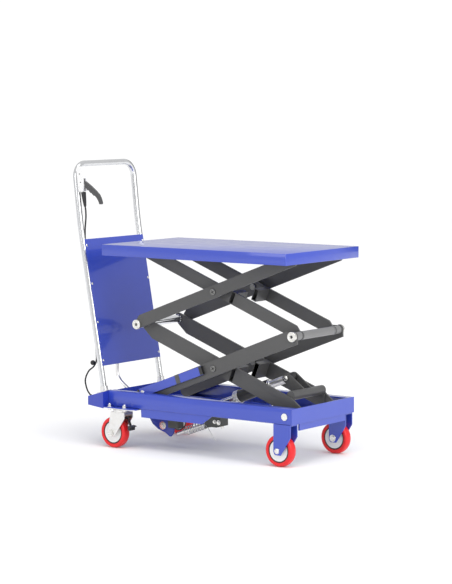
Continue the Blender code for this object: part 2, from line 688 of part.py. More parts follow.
def build_casters():
    """Swivelling rear casters, each with its brake pedal."""
    axle_x = at_x(SWIVEL_X - CASTER_TRAIL)
    for side, sign in SIDES:
        y = sign * SWIVEL_Y
        name = "caster_fork_" + side
        outline = [(at_x(-0.352), 0.1495), (at_x(-0.352), 0.126), (at_x(-0.402), 0.054),
                   (at_x(-0.412), 0.048), (at_x(-0.430), 0.048), (at_x(-0.438), 0.058),
                   (at_x(-0.438), 0.072), (at_x(-0.424), 0.1495)]
        fork = prism(name, outline, "Y", y - 0.0275, y + 0.0275,
                     (at_x(SWIVEL_X), y, 0.150), ZINC)
        cut(fork, box(name + "_throat", (at_x(-0.460), y - 0.0240, 0.030),
                      (at_x(-0.330), y + 0.0240, 0.1400)))
        under = CASTER_PLATE_TOP - CASTER_PLATE_T - GAP
        race = [(0.0, under), (0.030, under), (0.034, under - 0.003),
                (0.034, 0.1505), (0.030, 0.1475), (0.0, 0.1475)]
        race = [(radius, station - 0.150) for radius, station in race]
        join(fork, turned(name + "_race", race, (at_x(SWIVEL_X), y, 0.150), "Z"))
        axle = [(0.0, 0.0325), (0.0095, 0.0325), (0.0095, 0.0270), (0.008, 0.0270),
                (0.008, -0.0270), (0.0095, -0.0270), (0.0095, -0.0325), (0.0, -0.0325)]
        join(fork, turned(name + "_axle", axle, (axle_x, y, WHEEL_R),
                          facets=SMALL_ROUND))
        turned("caster_wheel_" + side, wheel_profile(CASTER_WHEEL_W / 2, 0.0220),
               (axle_x, y, WHEEL_R), closed=True, facets=24, finish=RED)
        pivot = (at_x(-0.3605), y, 0.1275)
        outline = [(-0.0050, 0.0035), (0.0040, 0.0050), (0.0120, -0.0080),
                   (0.0210, -0.0310), (0.0240, -0.0370), (0.0200, -0.0400),
                   (0.0030, -0.0055), (-0.0030, -0.0055)]
        outline = [(pivot[0] + x, pivot[2] + z) for x, z in outline]
        pedal = prism("brake_pedal_" + side, outline, "Y", y - 0.0050, y + 0.0050,
                      pivot, BLACK)
        tread = [(0.0170, -0.0330), (0.0220, -0.0300), (0.0370, -0.0330),
                 (0.0360, -0.0365), (0.0290, -0.0380), (0.0280, -0.0500),
                 (0.0180, -0.0500)]
        tread = [(pivot[0] + x, pivot[2] + z) for x, z in tread]
        join(pedal, prism("brake_pedal_tread_" + side, tread, "Y", y - 0.0165,
                          y + 0.0165))
        pin = rod("brake_pedal_pin_" + side, (pivot[0], y - 0.0235, pivot[2]),
                  (pivot[0], y + 0.0235, pivot[2]), 0.0040, SMALL_ROUND)
        join(bpy.data.objects["brake_pedal_" + side], pin)


def build_rollers():
    """Track rollers at the sliding ends of both stages."""
    bore = ROLLER_BORE + BORE_GAP
    for side, sign in SIDES:
        half = 0.014
        profile = [(bore, half), (ROLLER_BASE_R - 0.0015, half),
                   (ROLLER_BASE_R, half - 0.0015), (ROLLER_BASE_R, -(half - 0.0015)),
                   (ROLLER_BASE_R - 0.0015, -half), (bore, -half)]
        turned("base_roller_" + side, profile, (REAR_X, sign * 0.192, PIVOT_HEIGHT),
               closed=True, finish=RUBBER)
        half = 0.009
        radius = ROLLER_TABLE_R
        bore_small = 0.007 + BORE_GAP
        profile = [(bore_small, half), (radius - 0.001, half), (radius, half - 0.001),
                   (radius, -(half - 0.001)), (radius - 0.001, -half),
                   (bore_small, -half)]
        turned("table_roller_" + side, profile, (REAR_X, sign * 0.128, TOP_Z),
               closed=True, finish=RUBBER)


# ---- scissor arms ----------------------------------------------------------------

def arm_spot(rear, rise, along, up):
    """World XZ of a point given along an arm and square to it."""
    way = Vector((math.cos(ARM_ANGLE), rise * math.sin(ARM_ANGLE)))
    across = Vector((-way.y, way.x))
    point = Vector(rear) + way * along + across * up
    return (point.x, point.y)


def arm(name, sign, face, rear, rise, outline, origin, bores, finish=GREY):
    """Flat bar arm: outline in arm axes, bores at (along, radius)."""
    spots = [arm_spot(rear, rise, along, up) for along, up in outline]
    y = sorted((sign * face, sign * (face - ARM_THICK)))
    body = prism(name, spots, "Y", y[0], y[1], (origin[0], 0.0, origin[1]), finish)
    for index, (along, radius) in enumerate(bores):
        x, z = arm_spot(rear, rise, along, 0.0)
        cut(body, rod(name + "_bore_" + str(index), (x, y[0] - 0.01, z),
                      (x, y[1] + 0.01, z), radius))
    return body


REACH = ARM_REACH
HALF_REACH = ARM_REACH / 2
STUB_STATION = HALF_REACH + 0.066
STUB_LONG = 0.023            # along the arm
STUB_WALL = 0.003
STUB_INNER = 0.036           # how near the middle the stub tubes reach

LOWER_INNER_OUTLINE = [
    (-0.019, 0.0195), (-0.004, 0.0240), (0.769, 0.0400), (0.8195, 0.0255),
    (0.838, 0.0150), *arc((REACH, 0.0), 0.0238, 25, -90, 6), (0.059, -0.0405),
    (0.004, -0.0195), (-0.019, -0.0110)]
LOWER_OUTER_OUTLINE = [
    *arc((0.0, 0.0), 0.0275, 270, 110, 7), (0.010, 0.0338), (0.799, 0.0285),
    (0.822, 0.0200), *arc((REACH, 0.0), 0.0195, 35, -40, 3), (0.835, -0.0335)]
UPPER_INNER_OUTLINE = [
    (-0.013, 0.0070), (0.0, 0.0118), (0.065, 0.0220), (0.799, 0.0298),
    (0.8195, 0.0173), *arc((REACH, 0.0), 0.0185, 35, -60, 4), (0.822, -0.0214),
    (0.010, -0.0300), (-0.012, -0.0150)]
UPPER_OUTER_OUTLINE = [
    (-0.018, 0.0060), (0.003, 0.0205), (0.022, 0.0324), (REACH, 0.0167),
    *arc((REACH, 0.0), 0.0167, 60, -20, 4), (0.838, -0.0260), (0.826, -0.0325),
    (-0.010, -0.0170), (-0.019, -0.0090)]


def joint_shaft(name, x, z, finish):
    """Stepped shaft through both arms on both sides, with a disc on each end."""
    fat = 0.0165
    half = [(0.0, 0.1700), (0.0195, 0.1700), (0.0205, 0.1690),
            (0.0205, OUTER_FACE + GAP), (SHAFT_R, OUTER_FACE + GAP),
            (SHAFT_R, INNER_FACE - ARM_THICK - GAP),
            (fat, INNER_FACE - ARM_THICK - GAP)]
    profile = half + [(radius, -station) for radius, station in reversed(half)]
    return turned(name, profile, (x, 0.0, z), finish=finish)


def centre_pins(stage, z):
    """Pins through the crossing arms in the middle of a stage."""
    for side, sign in SIDES:
        half = [(0.0, 0.1650), (0.0115, 0.1650), (0.0125, 0.1640),
                (0.0125, OUTER_FACE + GAP), (PIN_R, OUTER_FACE + GAP),
                (PIN_R, INNER_FACE - ARM_THICK - GAP),
                (0.0130, INNER_FACE - ARM_THICK - GAP), (0.0130, 0.1020), (0.0, 0.1020)]
        if sign < 0:
            half = [(radius, -station) for radius, station in reversed(half)]
        turned(stage + "_centre_pin_" + side, half, (CENTRE_X, 0.0, z),
               facets=SMALL_ROUND, finish=ZINC)


def weld_stub_tube(body, name, sign, rear, middle, height):
    """Weld a short open-ended rectangular tube through an inner arm."""
    def ring(inset):
        half_long = STUB_LONG / 2 - inset
        half_high = height / 2 - inset
        return [arm_spot(rear, -1, STUB_STATION + a * half_long, middle + b * half_high)
                for a, b in ((-1, -1), (1, -1), (1, 1), (-1, 1))]

    ends = sorted((sign * STUB_INNER, sign * (INNER_FACE - 0.0010)))
    join(body, prism(name + "_stub_tube", ring(0.0), "Y", ends[0], ends[1]))
    ends = sorted((sign * (STUB_INNER - 0.010), sign * (INNER_FACE + 0.010)))
    cut(body, prism(name + "_stub_bore", ring(STUB_WALL), "Y", ends[0], ends[1]))


def build_lower_inner():
    """Lower inner arms with the yoke that the cylinder pushes on."""
    rear = (REAR_X, MID_Z)
    for side, sign in SIDES:
        name = "lower_inner_arm_" + side
        body = arm(name, sign, INNER_FACE, rear, -1, LOWER_INNER_OUTLINE,
                   (FRONT_X, PIVOT_HEIGHT),
                   [(0.0, SHAFT_R + BORE_GAP), (HALF_REACH, PIN_R + BORE_GAP),
                    (REACH, SHAFT_R + BORE_GAP)])
        weld_stub_tube(body, name, sign, rear, 0.0013, 0.0645)
    joint_shaft("rear_joint_shaft", REAR_X, MID_Z, CHROME)
    centre_pins("lower", PIVOT_HEIGHT + RISE / 2)

    name = "lower_inner_lift_yoke"
    x = at_x(0.377)
    z = 0.265
    half = INNER_FACE - ARM_THICK - GAP
    yoke = rod(name, (x, -half, z), (x, half, z), 0.019, finish=GREY)
    pin_x = at_x(CYLINDER_PIN[0])
    pin_z = CYLINDER_PIN[1]
    for label, sign in (("a", 1), ("b", -1)):
        lug = [(x - 0.012, z - 0.012), (x + 0.013, z + 0.010), (x + 0.002, z + 0.022),
               *arc((pin_x, pin_z), 0.020, 50, 235, 6)]
        ends = sorted((sign * 0.020, sign * 0.028))
        join(yoke, prism(name + "_lug_" + label, lug, "Y", ends[0], ends[1]))
        web = [(x - 0.034, z - 0.034), (x + 0.012, z - 0.050), (x + 0.015, z - 0.004),
               (x + 0.008, z + 0.014), (x - 0.008, z + 0.015)]
        ends = sorted((sign * (half - 0.007), sign * (half - 0.0005)))
        join(yoke, prism(name + "_web_" + label, web, "Y", ends[0], ends[1]))
    join(yoke, rod(name + "_pin", (pin_x, -0.033, pin_z), (pin_x, 0.033, pin_z),
                   0.010))


def build_lower_outer():
    """Lower outer arms, whose rear ends carry the base rollers."""
    rear = (REAR_X, PIVOT_HEIGHT)
    for side, sign in SIDES:
        name = "lower_outer_arm_" + side
        body = arm(name, sign, OUTER_FACE, rear, 1, LOWER_OUTER_OUTLINE,
                   (CENTRE_X, PIVOT_HEIGHT + RISE / 2),
                   [(HALF_REACH, PIN_R + BORE_GAP), (REACH, SHAFT_R + BORE_GAP)])
        stub = [(0.0, 0.2085), (ROLLER_BORE, 0.2085), (ROLLER_BORE, 0.1776),
                (0.013, 0.1776), (0.013, OUTER_FACE - 0.006), (0.0, OUTER_FACE - 0.006)]
        if sign < 0:
            stub = [(radius, -station) for radius, station in reversed(stub)]
        join(body, turned(name + "_stub", stub, (REAR_X, 0.0, PIVOT_HEIGHT),
                          facets=SMALL_ROUND))
        if sign < 0:
            spot = (at_x(-0.312), 0.230)
            join(body, rod(name + "_prop_pin", (spot[0], -OUTER_FACE + 0.004, spot[1]),
                           (spot[0], -0.1733, spot[1]), 0.006, SMALL_ROUND))
    joint_shaft("front_joint_shaft", FRONT_X, MID_Z, GREY)


def build_prop():
    """Maintenance prop: a channel hinged on the right lower outer arm."""
    pivot = Vector((at_x(-0.312), 0.0, 0.230))
    tilt = math.radians(20.3)
    way = Vector((math.cos(tilt), 0.0, math.sin(tilt)))
    across = Vector((-way.z, 0.0, way.x))

    def ring(start, end, half):
        spots = []
        for along, up in ((start, -half), (end, -half), (end, half), (start, half)):
            point = pivot + way * along + across * up
            spots.append((point.x, point.z))
        return spots

    bar = prism("prop_bar", ring(-0.012, 0.326, 0.0175), "Y", -0.1735, -0.1625,
                (pivot.x, -0.168, pivot.z), BLUE)
    cut(bar, prism("prop_bar_channel", ring(-0.030, 0.350, 0.0145), "Y", -0.1705,
                   -0.1500))
    cut(bar, rod("prop_bar_bore", (pivot.x, -0.180, pivot.z),
                 (pivot.x, -0.160, pivot.z), 0.006 + BORE_GAP))


def build_upper_inner():
    """Upper inner arms, whose rear ends carry the table rollers."""
    rear = (REAR_X, TOP_Z)
    for side, sign in SIDES:
        name = "upper_inner_arm_" + side
        body = arm(name, sign, INNER_FACE, rear, -1, UPPER_INNER_OUTLINE,
                   (FRONT_X, MID_Z),
                   [(HALF_REACH, PIN_R + BORE_GAP), (REACH, SHAFT_R + BORE_GAP)])
        weld_stub_tube(body, name, sign, rear, 0.0007, 0.0505)
        stub = [(0.0, 0.1385), (0.007, 0.1385), (0.007, 0.1187), (0.010, 0.1187),
                (0.010, INNER_FACE - 0.006), (0.0, INNER_FACE - 0.006)]
        if sign < 0:
            stub = [(radius, -station) for radius, station in reversed(stub)]
        join(body, turned(name + "_stub", stub, (REAR_X, 0.0, TOP_Z),
                          facets=SMALL_ROUND))


def build_upper_outer():
    """Upper outer arms, hinged to the table at the front."""
    rear = (REAR_X, MID_Z)
    for side, sign in SIDES:
        arm("upper_outer_arm_" + side, sign, OUTER_FACE, rear, 1, UPPER_OUTER_OUTLINE,
            (REAR_X, MID_Z),
            [(0.0, SHAFT_R + BORE_GAP), (HALF_REACH, PIN_R + BORE_GAP),
             (REACH, 0.008 + BORE_GAP)])
    centre_pins("upper", PIVOT_HEIGHT + 1.5 * RISE)


def build_table():
    """Deck tray, its roller rails and the front hinge pins."""
    half_x = TABLE_LENGTH / 2
    half_y = TABLE_WIDTH / 2
    origin = (FRONT_X, 0.0, TOP_Z)
    deck = box("table_deck", (at_x(-half_x), -half_y, TABLE_TOP - TABLE_SKIRT),
               (at_x(half_x), half_y, TABLE_TOP), origin, BLUE)
    bevel = deck.modifiers.new("folded_edges", "BEVEL")
    bevel.width = 0.0012
    bevel.segments = 2
    cut(deck, box("table_deck_hollow",
                  (at_x(-half_x + TABLE_SHEET), -half_y + TABLE_SHEET, 0.700),
                  (at_x(half_x - TABLE_SHEET), half_y - TABLE_SHEET, DECK_UNDER)))
    floor = TOP_Z - ROLLER_TABLE_R - GAP
    for side, sign in SIDES:
        section = [(0.121, floor - 0.003), (0.1425, floor - 0.003),
                   (0.1425, DECK_UNDER - GAP), (0.1395, DECK_UNDER - GAP),
                   (0.1395, floor), (0.121, floor)]
        section = [(sign * y, z) for y, z in section]
        prism("table_rail_" + side, section, "X", at_x(-0.445), at_x(0.448), origin,
              BLUE)
        pin = [(0.0, 0.1650), (0.0140, 0.1650), (0.0140, OUTER_FACE + GAP),
               (0.008, OUTER_FACE + GAP), (0.008, OUTER_FACE - ARM_THICK - GAP),
               (0.0140, OUTER_FACE - ARM_THICK - GAP), (0.0140, 0.1425 + GAP),
               (0.0, 0.1425 + GAP)]
        if sign < 0:
            pin = [(radius, -station) for radius, station in reversed(pin)]
        turned("table_hinge_pin_" + side, pin, (FRONT_X, 0.0, TOP_Z),
               facets=SMALL_ROUND, finish=ZINC)


def build_cylinder():
    """Lift cylinder: barrel on the yoke pin, rod down to its cradle."""
    foot = Vector((at_x(CYLINDER_FOOT[0]), 0.0, CYLINDER_FOOT[1]))
    pin = Vector((at_x(CYLINDER_PIN[0]), 0.0, CYLINDER_PIN[1]))
    way = (foot - pin).normalized()
    name = "cylinder_barrel"
    eye = [(0.019, 0.0194), (0.019, -0.0194), (0.010 + BORE_GAP, -0.0194),
           (0.010 + BORE_GAP, 0.0194)]
    barrel = turned(name, eye, tuple(pin), closed=True, finish=BLACK)
    join(barrel, rod(name + "_neck", pin + way * 0.0150, pin + way * 0.030, 0.0150))
    join(barrel, rod(name + "_body", pin + way * 0.0220, pin + way * 0.285, CYLINDER_R))
    join(barrel, rod(name + "_gland", pin + way * 0.262, pin + way * 0.2855, 0.0275))
    cut(barrel, rod(name + "_bore", pin + way * 0.128, pin + way * 0.310,
                    ROD_R + 0.0005))
    name = "cylinder_rod"
    reach = (pin - foot).length
    body = rod(name, foot, foot - way * 0.202, ROD_R, origin=tuple(foot), finish=CHROME)
    join(body, rod(name + "_trunnion", foot - Vector((0.0, 0.040, 0.0)),
                   foot + Vector((0.0, 0.040, 0.0)), 0.007, SMALL_ROUND))
    join(body, rod(name + "_eye", foot - Vector((0.0, 0.017, 0.0)),
                   foot + Vector((0.0, 0.017, 0.0)), 0.0165))
    return reach


build_rails()
build_front_plate()
build_forks()
build_rear_crossmember()
build_caster_plates()
build_front_pivot()
build_handle()
build_panel()
build_release()
build_pedal()
build_pump()
build_front_wheels()
build_casters()
build_rollers()
build_lower_inner()
build_lower_outer()
build_prop()
build_upper_inner()
build_upper_outer()
build_table()
build_cylinder()
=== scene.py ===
"""Scissor lift table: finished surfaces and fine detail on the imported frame.

Everything is in metres. +X is the front end, away from the push handle, and -Y is
the right-hand side, where the release lever, the pump and the prop bar are.
"""

from __future__ import annotations

import json
import logging
import math
from dataclasses import dataclass, field
from enum import Enum
from typing import Any, Callable, Iterable, Sequence

import bmesh
import bpy
from mathutils import Matrix, Vector


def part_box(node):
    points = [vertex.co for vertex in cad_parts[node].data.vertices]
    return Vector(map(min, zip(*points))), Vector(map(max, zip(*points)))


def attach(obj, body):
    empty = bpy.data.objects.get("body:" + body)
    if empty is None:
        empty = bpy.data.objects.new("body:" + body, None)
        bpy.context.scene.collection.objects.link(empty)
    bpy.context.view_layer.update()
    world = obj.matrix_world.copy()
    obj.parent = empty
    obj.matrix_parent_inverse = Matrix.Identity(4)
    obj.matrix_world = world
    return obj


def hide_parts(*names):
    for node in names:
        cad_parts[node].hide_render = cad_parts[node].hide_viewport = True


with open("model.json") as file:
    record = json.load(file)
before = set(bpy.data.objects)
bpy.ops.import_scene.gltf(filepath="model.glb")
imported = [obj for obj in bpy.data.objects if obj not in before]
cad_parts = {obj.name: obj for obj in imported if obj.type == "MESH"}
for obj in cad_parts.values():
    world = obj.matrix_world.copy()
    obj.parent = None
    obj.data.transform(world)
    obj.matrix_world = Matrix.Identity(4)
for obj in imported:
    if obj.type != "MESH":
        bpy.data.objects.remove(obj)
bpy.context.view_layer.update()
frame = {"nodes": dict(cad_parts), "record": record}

LOG = logging.getLogger("lift_table")

SEAT_GAP = 0.0003      # clearance under a pin head or an end disc
ARM_DEPTH = 0.0083     # thickness of an arm with the clearance on one side
EYE_RADIUS = 0.019     # radius of the eye at the top of the lift cylinder

Colour = tuple[float, float, float]
Point = Sequence[float]
Profile = list[tuple[float, float]]


class Side(Enum):
    """The two sides of the table, with the sign of Y on each."""

    RIGHT = ("right", -1.0)
    LEFT = ("left", 1.0)

    @property
    def word(self) -> str:
        """Name of the side as the frame spells it."""
        return self.value[0]

    @property
    def sign(self) -> float:
        """Sign of Y on this side."""
        return self.value[1]


class Slot(Enum):
    """Material slots that the record names."""

    BLUE = "painted_blue"
    GREY = "painted_grey"
    ZINC = "zinc_plate"
    CHROME = "chrome"
    TUBE = "handle_chrome"
    BLACK = "black_paint"
    PLASTIC = "black_plastic"
    SPRING = "spring_steel"
    TREAD = "red_tread"


class Axis(Enum):
    """Direction that a turned piece's axis points in."""

    X = (1.0, 0.0, 0.0)
    Y = (0.0, 1.0, 0.0)
    Z = (0.0, 0.0, 1.0)


# ---- shader groups ---------------------------------------------------------------


class Wiring:
    """Adds and joins the nodes of one shader tree."""

    def __init__(self, tree: bpy.types.NodeTree) -> None:
        """Work on this tree."""
        self.tree = tree

    def node(self, kind: str, **settings: Any) -> bpy.types.Node:
        """Add a node.

        Args:
            kind: Short type name, without the leading "ShaderNode".
            **settings: Properties of the node, or inputs named in lower case.

        Returns:
            The new node.
        """
        made = self.tree.nodes.new("ShaderNode" + kind)
        for name, value in settings.items():
            if hasattr(made, name):
                setattr(made, name, value)
            else:
                made.inputs[name.replace("_", " ").title()].default_value = value
        return made

    def link(self, out: bpy.types.NodeSocket, into: bpy.types.NodeSocket) -> None:
        """Join an output to an input."""
        self.tree.links.new(out, into)

    def math(self, operation: str, first: Any, second: Any = 0.0,
             clamp: bool = False) -> bpy.types.NodeSocket:
        """Do sums on two values.

        Args:
            operation: Name of the Math node's operation.
            first: A socket or a number.
            second: A socket or a number.
            clamp: Whether the result stays between 0 and 1.

        Returns:
            The socket of the result.
        """
        made = self.node("Math", operation=operation, use_clamp=clamp)
        for index, value in enumerate((first, second)):
            if isinstance(value, bpy.types.NodeSocket):
                self.link(value, made.inputs[index])
            else:
                made.inputs[index].default_value = value
        return made.outputs[0]

    def noise(self, vector: bpy.types.NodeSocket, scale: Any, detail: float = 3.0,
              rough: float = 0.5) -> bpy.types.NodeSocket:
        """Add a noise texture.

        Args:
            vector: Where it is read.
            scale: A socket or a number.
            detail: Number of octaves.
            rough: Strength of the finer octaves.

        Returns:
            The socket of its value.
        """
        made = self.node("TexNoise", detail=detail, roughness=rough)
        self.link(vector, made.inputs["Vector"])
        if isinstance(scale, bpy.types.NodeSocket):
            self.link(scale, made.inputs["Scale"])
        else:
            made.inputs["Scale"].default_value = scale
        return made.outputs["Fac"]

    def ramp(self, value: bpy.types.NodeSocket, low: float, high: float,
             start: float = 0.0, end: float = 1.0) -> bpy.types.NodeSocket:
        """Spread a range of values over another, held at both ends.

        Args:
            value: Socket to read.
            low: Value that gives start.
            high: Value that gives end.
            start: Result at low.
            end: Result at high.

        Returns:
            The socket of the result.
        """
        made = self.node("MapRange", clamp=True)
        self.link(value, made.inputs["Value"])
        for name, number in (("From Min", low), ("From Max", high),
                             ("To Min", start), ("To Max", end)):
            made.inputs[name].default_value = number
        return made.outputs["Result"]

    def blend(self, share: Any, first: Any, second: Any) -> bpy.types.NodeSocket:
        """Mix two colours.

        Args:
            share: How much of the second, a socket or a number.
            first: A socket or a colour.
            second: A socket or a colour.

        Returns:
            The socket of the mixed colour.
        """
        made = self.node("Mix", data_type="RGBA")
        for index, value in ((0, share), (6, first), (7, second)):
            if isinstance(value, bpy.types.NodeSocket):
                self.link(value, made.inputs[index])
            elif index:
                made.inputs[index].default_value = (*value, 1.0)
            else:
                made.inputs[index].default_value = value
        return made.outputs[2]


class EffectShelf:
    """Shader effects that several finishes share, each made once."""

    def __init__(self) -> None:
        """Start with an empty shelf."""
        self.made: dict[str, bpy.types.NodeTree] = {}

    def start(self, name: str, takes: dict[str, tuple[str, Any]],
              gives: dict[str, str]) -> tuple[Wiring, Any, Any]:
        """Open a new group.

        Args:
            name: Name of the group.
            takes: Input names, each with its kind and default.
            gives: Output names, each with its kind.

        Returns:
            The wiring, the group's input node and its output node.
        """
        tree = bpy.data.node_groups.new(name, "ShaderNodeTree")
        for label, (kind, default) in takes.items():
            socket = tree.interface.new_socket(label, in_out="INPUT",
                                               socket_type="NodeSocket" + kind)
            if default is not None:
                socket.default_value = default
        for label, kind in gives.items():
            tree.interface.new_socket(label, in_out="OUTPUT",
                                      socket_type="NodeSocket" + kind)
        self.made[name] = tree
        wiring = Wiring(tree)
        return (wiring, tree.nodes.new("NodeGroupInput"),
                tree.nodes.new("NodeGroupOutput"))

    def cloudy_tone(self) -> bpy.types.NodeTree:
        """Soft light and dark drift over a colour.

        Returns:
            The group: Vector, Colour, Scale and Depth in, Colour out.
        """
        if "cloudy_tone" not in self.made:
            wiring, taken, given = self.start(
                "cloudy_tone",
                {"Vector": ("Vector", None), "Colour": ("Color", (0.5, 0.5, 0.5, 1.0)),
                 "Scale": ("Float", 6.0), "Depth": ("Float", 0.1)},
                {"Colour": "Color"})
            broad = wiring.noise(taken.outputs["Vector"], taken.outputs["Scale"], 4.0)
            fine = wiring.noise(
                taken.outputs["Vector"],
                wiring.math("MULTIPLY", taken.outputs["Scale"], 11.0), 2.0)
            both = wiring.math("ADD", wiring.math("MULTIPLY", broad, 0.75),
                               wiring.math("MULTIPLY", fine, 0.25))
            swing = wiring.math("MULTIPLY", wiring.math("SUBTRACT", both, 0.5), 2.4)
            gain = wiring.math("ADD", wiring.math(
                "MULTIPLY", swing, taken.outputs["Depth"]), 1.0)
            scale = wiring.node("VectorMath", operation="SCALE")
            wiring.link(taken.outputs["Colour"], scale.inputs[0])
            wiring.link(gain, scale.inputs["Scale"])
            wiring.link(scale.outputs[0], given.inputs["Colour"])
        return self.made["cloudy_tone"]

    def orange_peel(self) -> bpy.types.NodeTree:
        """Fine waviness of sprayed paint or moulded skin.

        Returns:
            The group: Vector and Scale in, Height out.
        """
        if "orange_peel" not in self.made:
            wiring, taken, given = self.start(
                "orange_peel",
                {"Vector": ("Vector", None), "Scale": ("Float", 700.0)},
                {"Height": "Float"})
            wave = wiring.noise(taken.outputs["Vector"], taken.outputs["Scale"], 1.0)
            slow = wiring.noise(
                taken.outputs["Vector"],
                wiring.math("MULTIPLY", taken.outputs["Scale"], 0.06), 2.0)
            total = wiring.math("ADD", wave, wiring.math("MULTIPLY", slow, 0.7))
            wiring.link(total, given.inputs["Height"])
        return self.made["orange_peel"]

    def handling_marks(self) -> bpy.types.NodeTree:
        """Thin scratches and rubbed spots from use.

        Returns:
            The group: Vector, Scale and Amount in, Mask out.
        """
        if "handling_marks" not in self.made:
            wiring, taken, given = self.start(
                "handling_marks",
                {"Vector": ("Vector", None), "Scale": ("Float", 30.0),
                 "Amount": ("Float", 0.5)},
                {"Mask": "Float"})
            long = wiring.node("Mapping")
            long.inputs["Rotation"].default_value = (0.5, 0.3, 0.9)
            long.inputs["Scale"].default_value = (1.0, 9.0, 3.0)
            wiring.link(taken.outputs["Vector"], long.inputs["Vector"])
            line = wiring.noise(long.outputs[0], taken.outputs["Scale"], 2.0)
            off = wiring.math("ABSOLUTE", wiring.math("SUBTRACT", line, 0.5))
            thin = wiring.ramp(off, 0.002, 0.010, 1.0, 0.0)
            place = wiring.ramp(
                wiring.noise(taken.outputs["Vector"], 9.0, 2.0), 0.56, 0.68)
            marks = wiring.math("MULTIPLY", thin, place)
            wiring.link(wiring.math("MULTIPLY", marks, taken.outputs["Amount"], True),
                        given.inputs["Mask"])
        return self.made["handling_marks"]

    def settled_dust(self) -> bpy.types.NodeTree:
        """Dust that lies on faces that look up.

        Returns:
            The group: Vector and Amount in, Mask out.
        """
        if "settled_dust" not in self.made:
            wiring, taken, given = self.start(
                "settled_dust",
                {"Vector": ("Vector", None), "Amount": ("Float", 0.2)},
                {"Mask": "Float"})
            shape = wiring.node("NewGeometry")
            split = wiring.node("SeparateXYZ")
            wiring.link(shape.outputs["Normal"], split.inputs[0])
            upward = wiring.ramp(split.outputs["Z"], 0.55, 0.95)
            drift = wiring.ramp(wiring.noise(taken.outputs["Vector"], 14.0, 5.0, 0.6),
                                0.35, 0.75)
            mask = wiring.math("MULTIPLY", upward, drift)
            wiring.link(wiring.math("MULTIPLY", mask, taken.outputs["Amount"], True),
                        given.inputs["Mask"])
        return self.made["settled_dust"]

    def plating_bloom(self) -> bpy.types.NodeTree:
        """Patchy crystal bloom of a plated surface.

        Returns:
            The group: Vector and Scale in, Mask and Height out.
        """
        if "plating_bloom" not in self.made:
            wiring, taken, given = self.start(
                "plating_bloom",
                {"Vector": ("Vector", None), "Scale": ("Float", 90.0)},
                {"Mask": "Float", "Height": "Float"})
            cells = wiring.node("TexVoronoi", feature="F1")
            wiring.link(taken.outputs["Vector"], cells.inputs["Vector"])
            wiring.link(taken.outputs["Scale"], cells.inputs["Scale"])
            cloud = wiring.noise(taken.outputs["Vector"], 22.0, 4.0, 0.6)
            mask = wiring.math("ADD", wiring.math(
                "MULTIPLY", cells.outputs["Distance"], 0.45),
                wiring.math("MULTIPLY", cloud, 0.7), True)
            wiring.link(mask, given.inputs["Mask"])
            wiring.link(wiring.noise(taken.outputs["Vector"], 420.0, 2.0),
                        given.inputs["Height"])
        return self.made["plating_bloom"]


EFFECTS = EffectShelf()


# ---- finishes --------------------------------------------------------------------


@dataclass(frozen=True)
class Finish:
    """What every finish has: a name, a slot, a colour and a sheen.

    Attributes:
        name: Name of the material.
        slot: Record slot that it belongs to; not used.
        colour: Linear colour.
        roughness: Roughness of the middle of the surface.
    """

    name: str
    slot: Slot
    colour: Colour
    roughness: float

    def open(self) -> tuple[bpy.types.Material, Wiring, Any, bpy.types.NodeSocket]:
        """Start a material.

        Returns:
            The material, its wiring, its shader and its object coordinates.
        """
        material = bpy.data.materials.new(self.name)
        material.use_nodes = True
        wiring = Wiring(material.node_tree)
        shader = material.node_tree.nodes["Principled BSDF"]
        spot = wiring.node("TexCoord").outputs["Object"]
        material.diffuse_color = (*self.colour, 1.0)
        return material, wiring, shader, spot

    @staticmethod
    def group(wiring: Wiring, tree: bpy.types.NodeTree, spot: bpy.types.NodeSocket,
              **values: Any) -> bpy.types.Node:
        """Place a shared effect.

        Args:
            wiring: Wiring of the material.
            tree: The effect.
            spot: Coordinates that it reads.
            **values: Inputs of the effect.

        Returns:
            The node of the group.
        """
        made = wiring.node("Group")
        made.node_tree = tree
        wiring.link(spot, made.inputs["Vector"])
        for name, value in values.items():
            made.inputs[name].default_value = value
        return made

    @staticmethod
    def relief(wiring: Wiring, shader: Any, height: bpy.types.NodeSocket,
               strength: float, distance: float) -> None:
        """Raise the surface by a height.

        Args:
            wiring: Wiring of the material.
            shader: Shader that it feeds.
            height: Socket of the height.
            strength: Strength of the bump.
            distance: Full height in metres.
        """
        bump = wiring.node("Bump")
        bump.inputs["Strength"].default_value = strength
        bump.inputs["Distance"].default_value = distance
        wiring.link(height, bump.inputs["Height"])
        wiring.link(bump.outputs[0], shader.inputs["Normal"])

    def make(self) -> bpy.types.Material:
        """Build the material; each kind of finish has its own way."""
        raise NotImplementedError


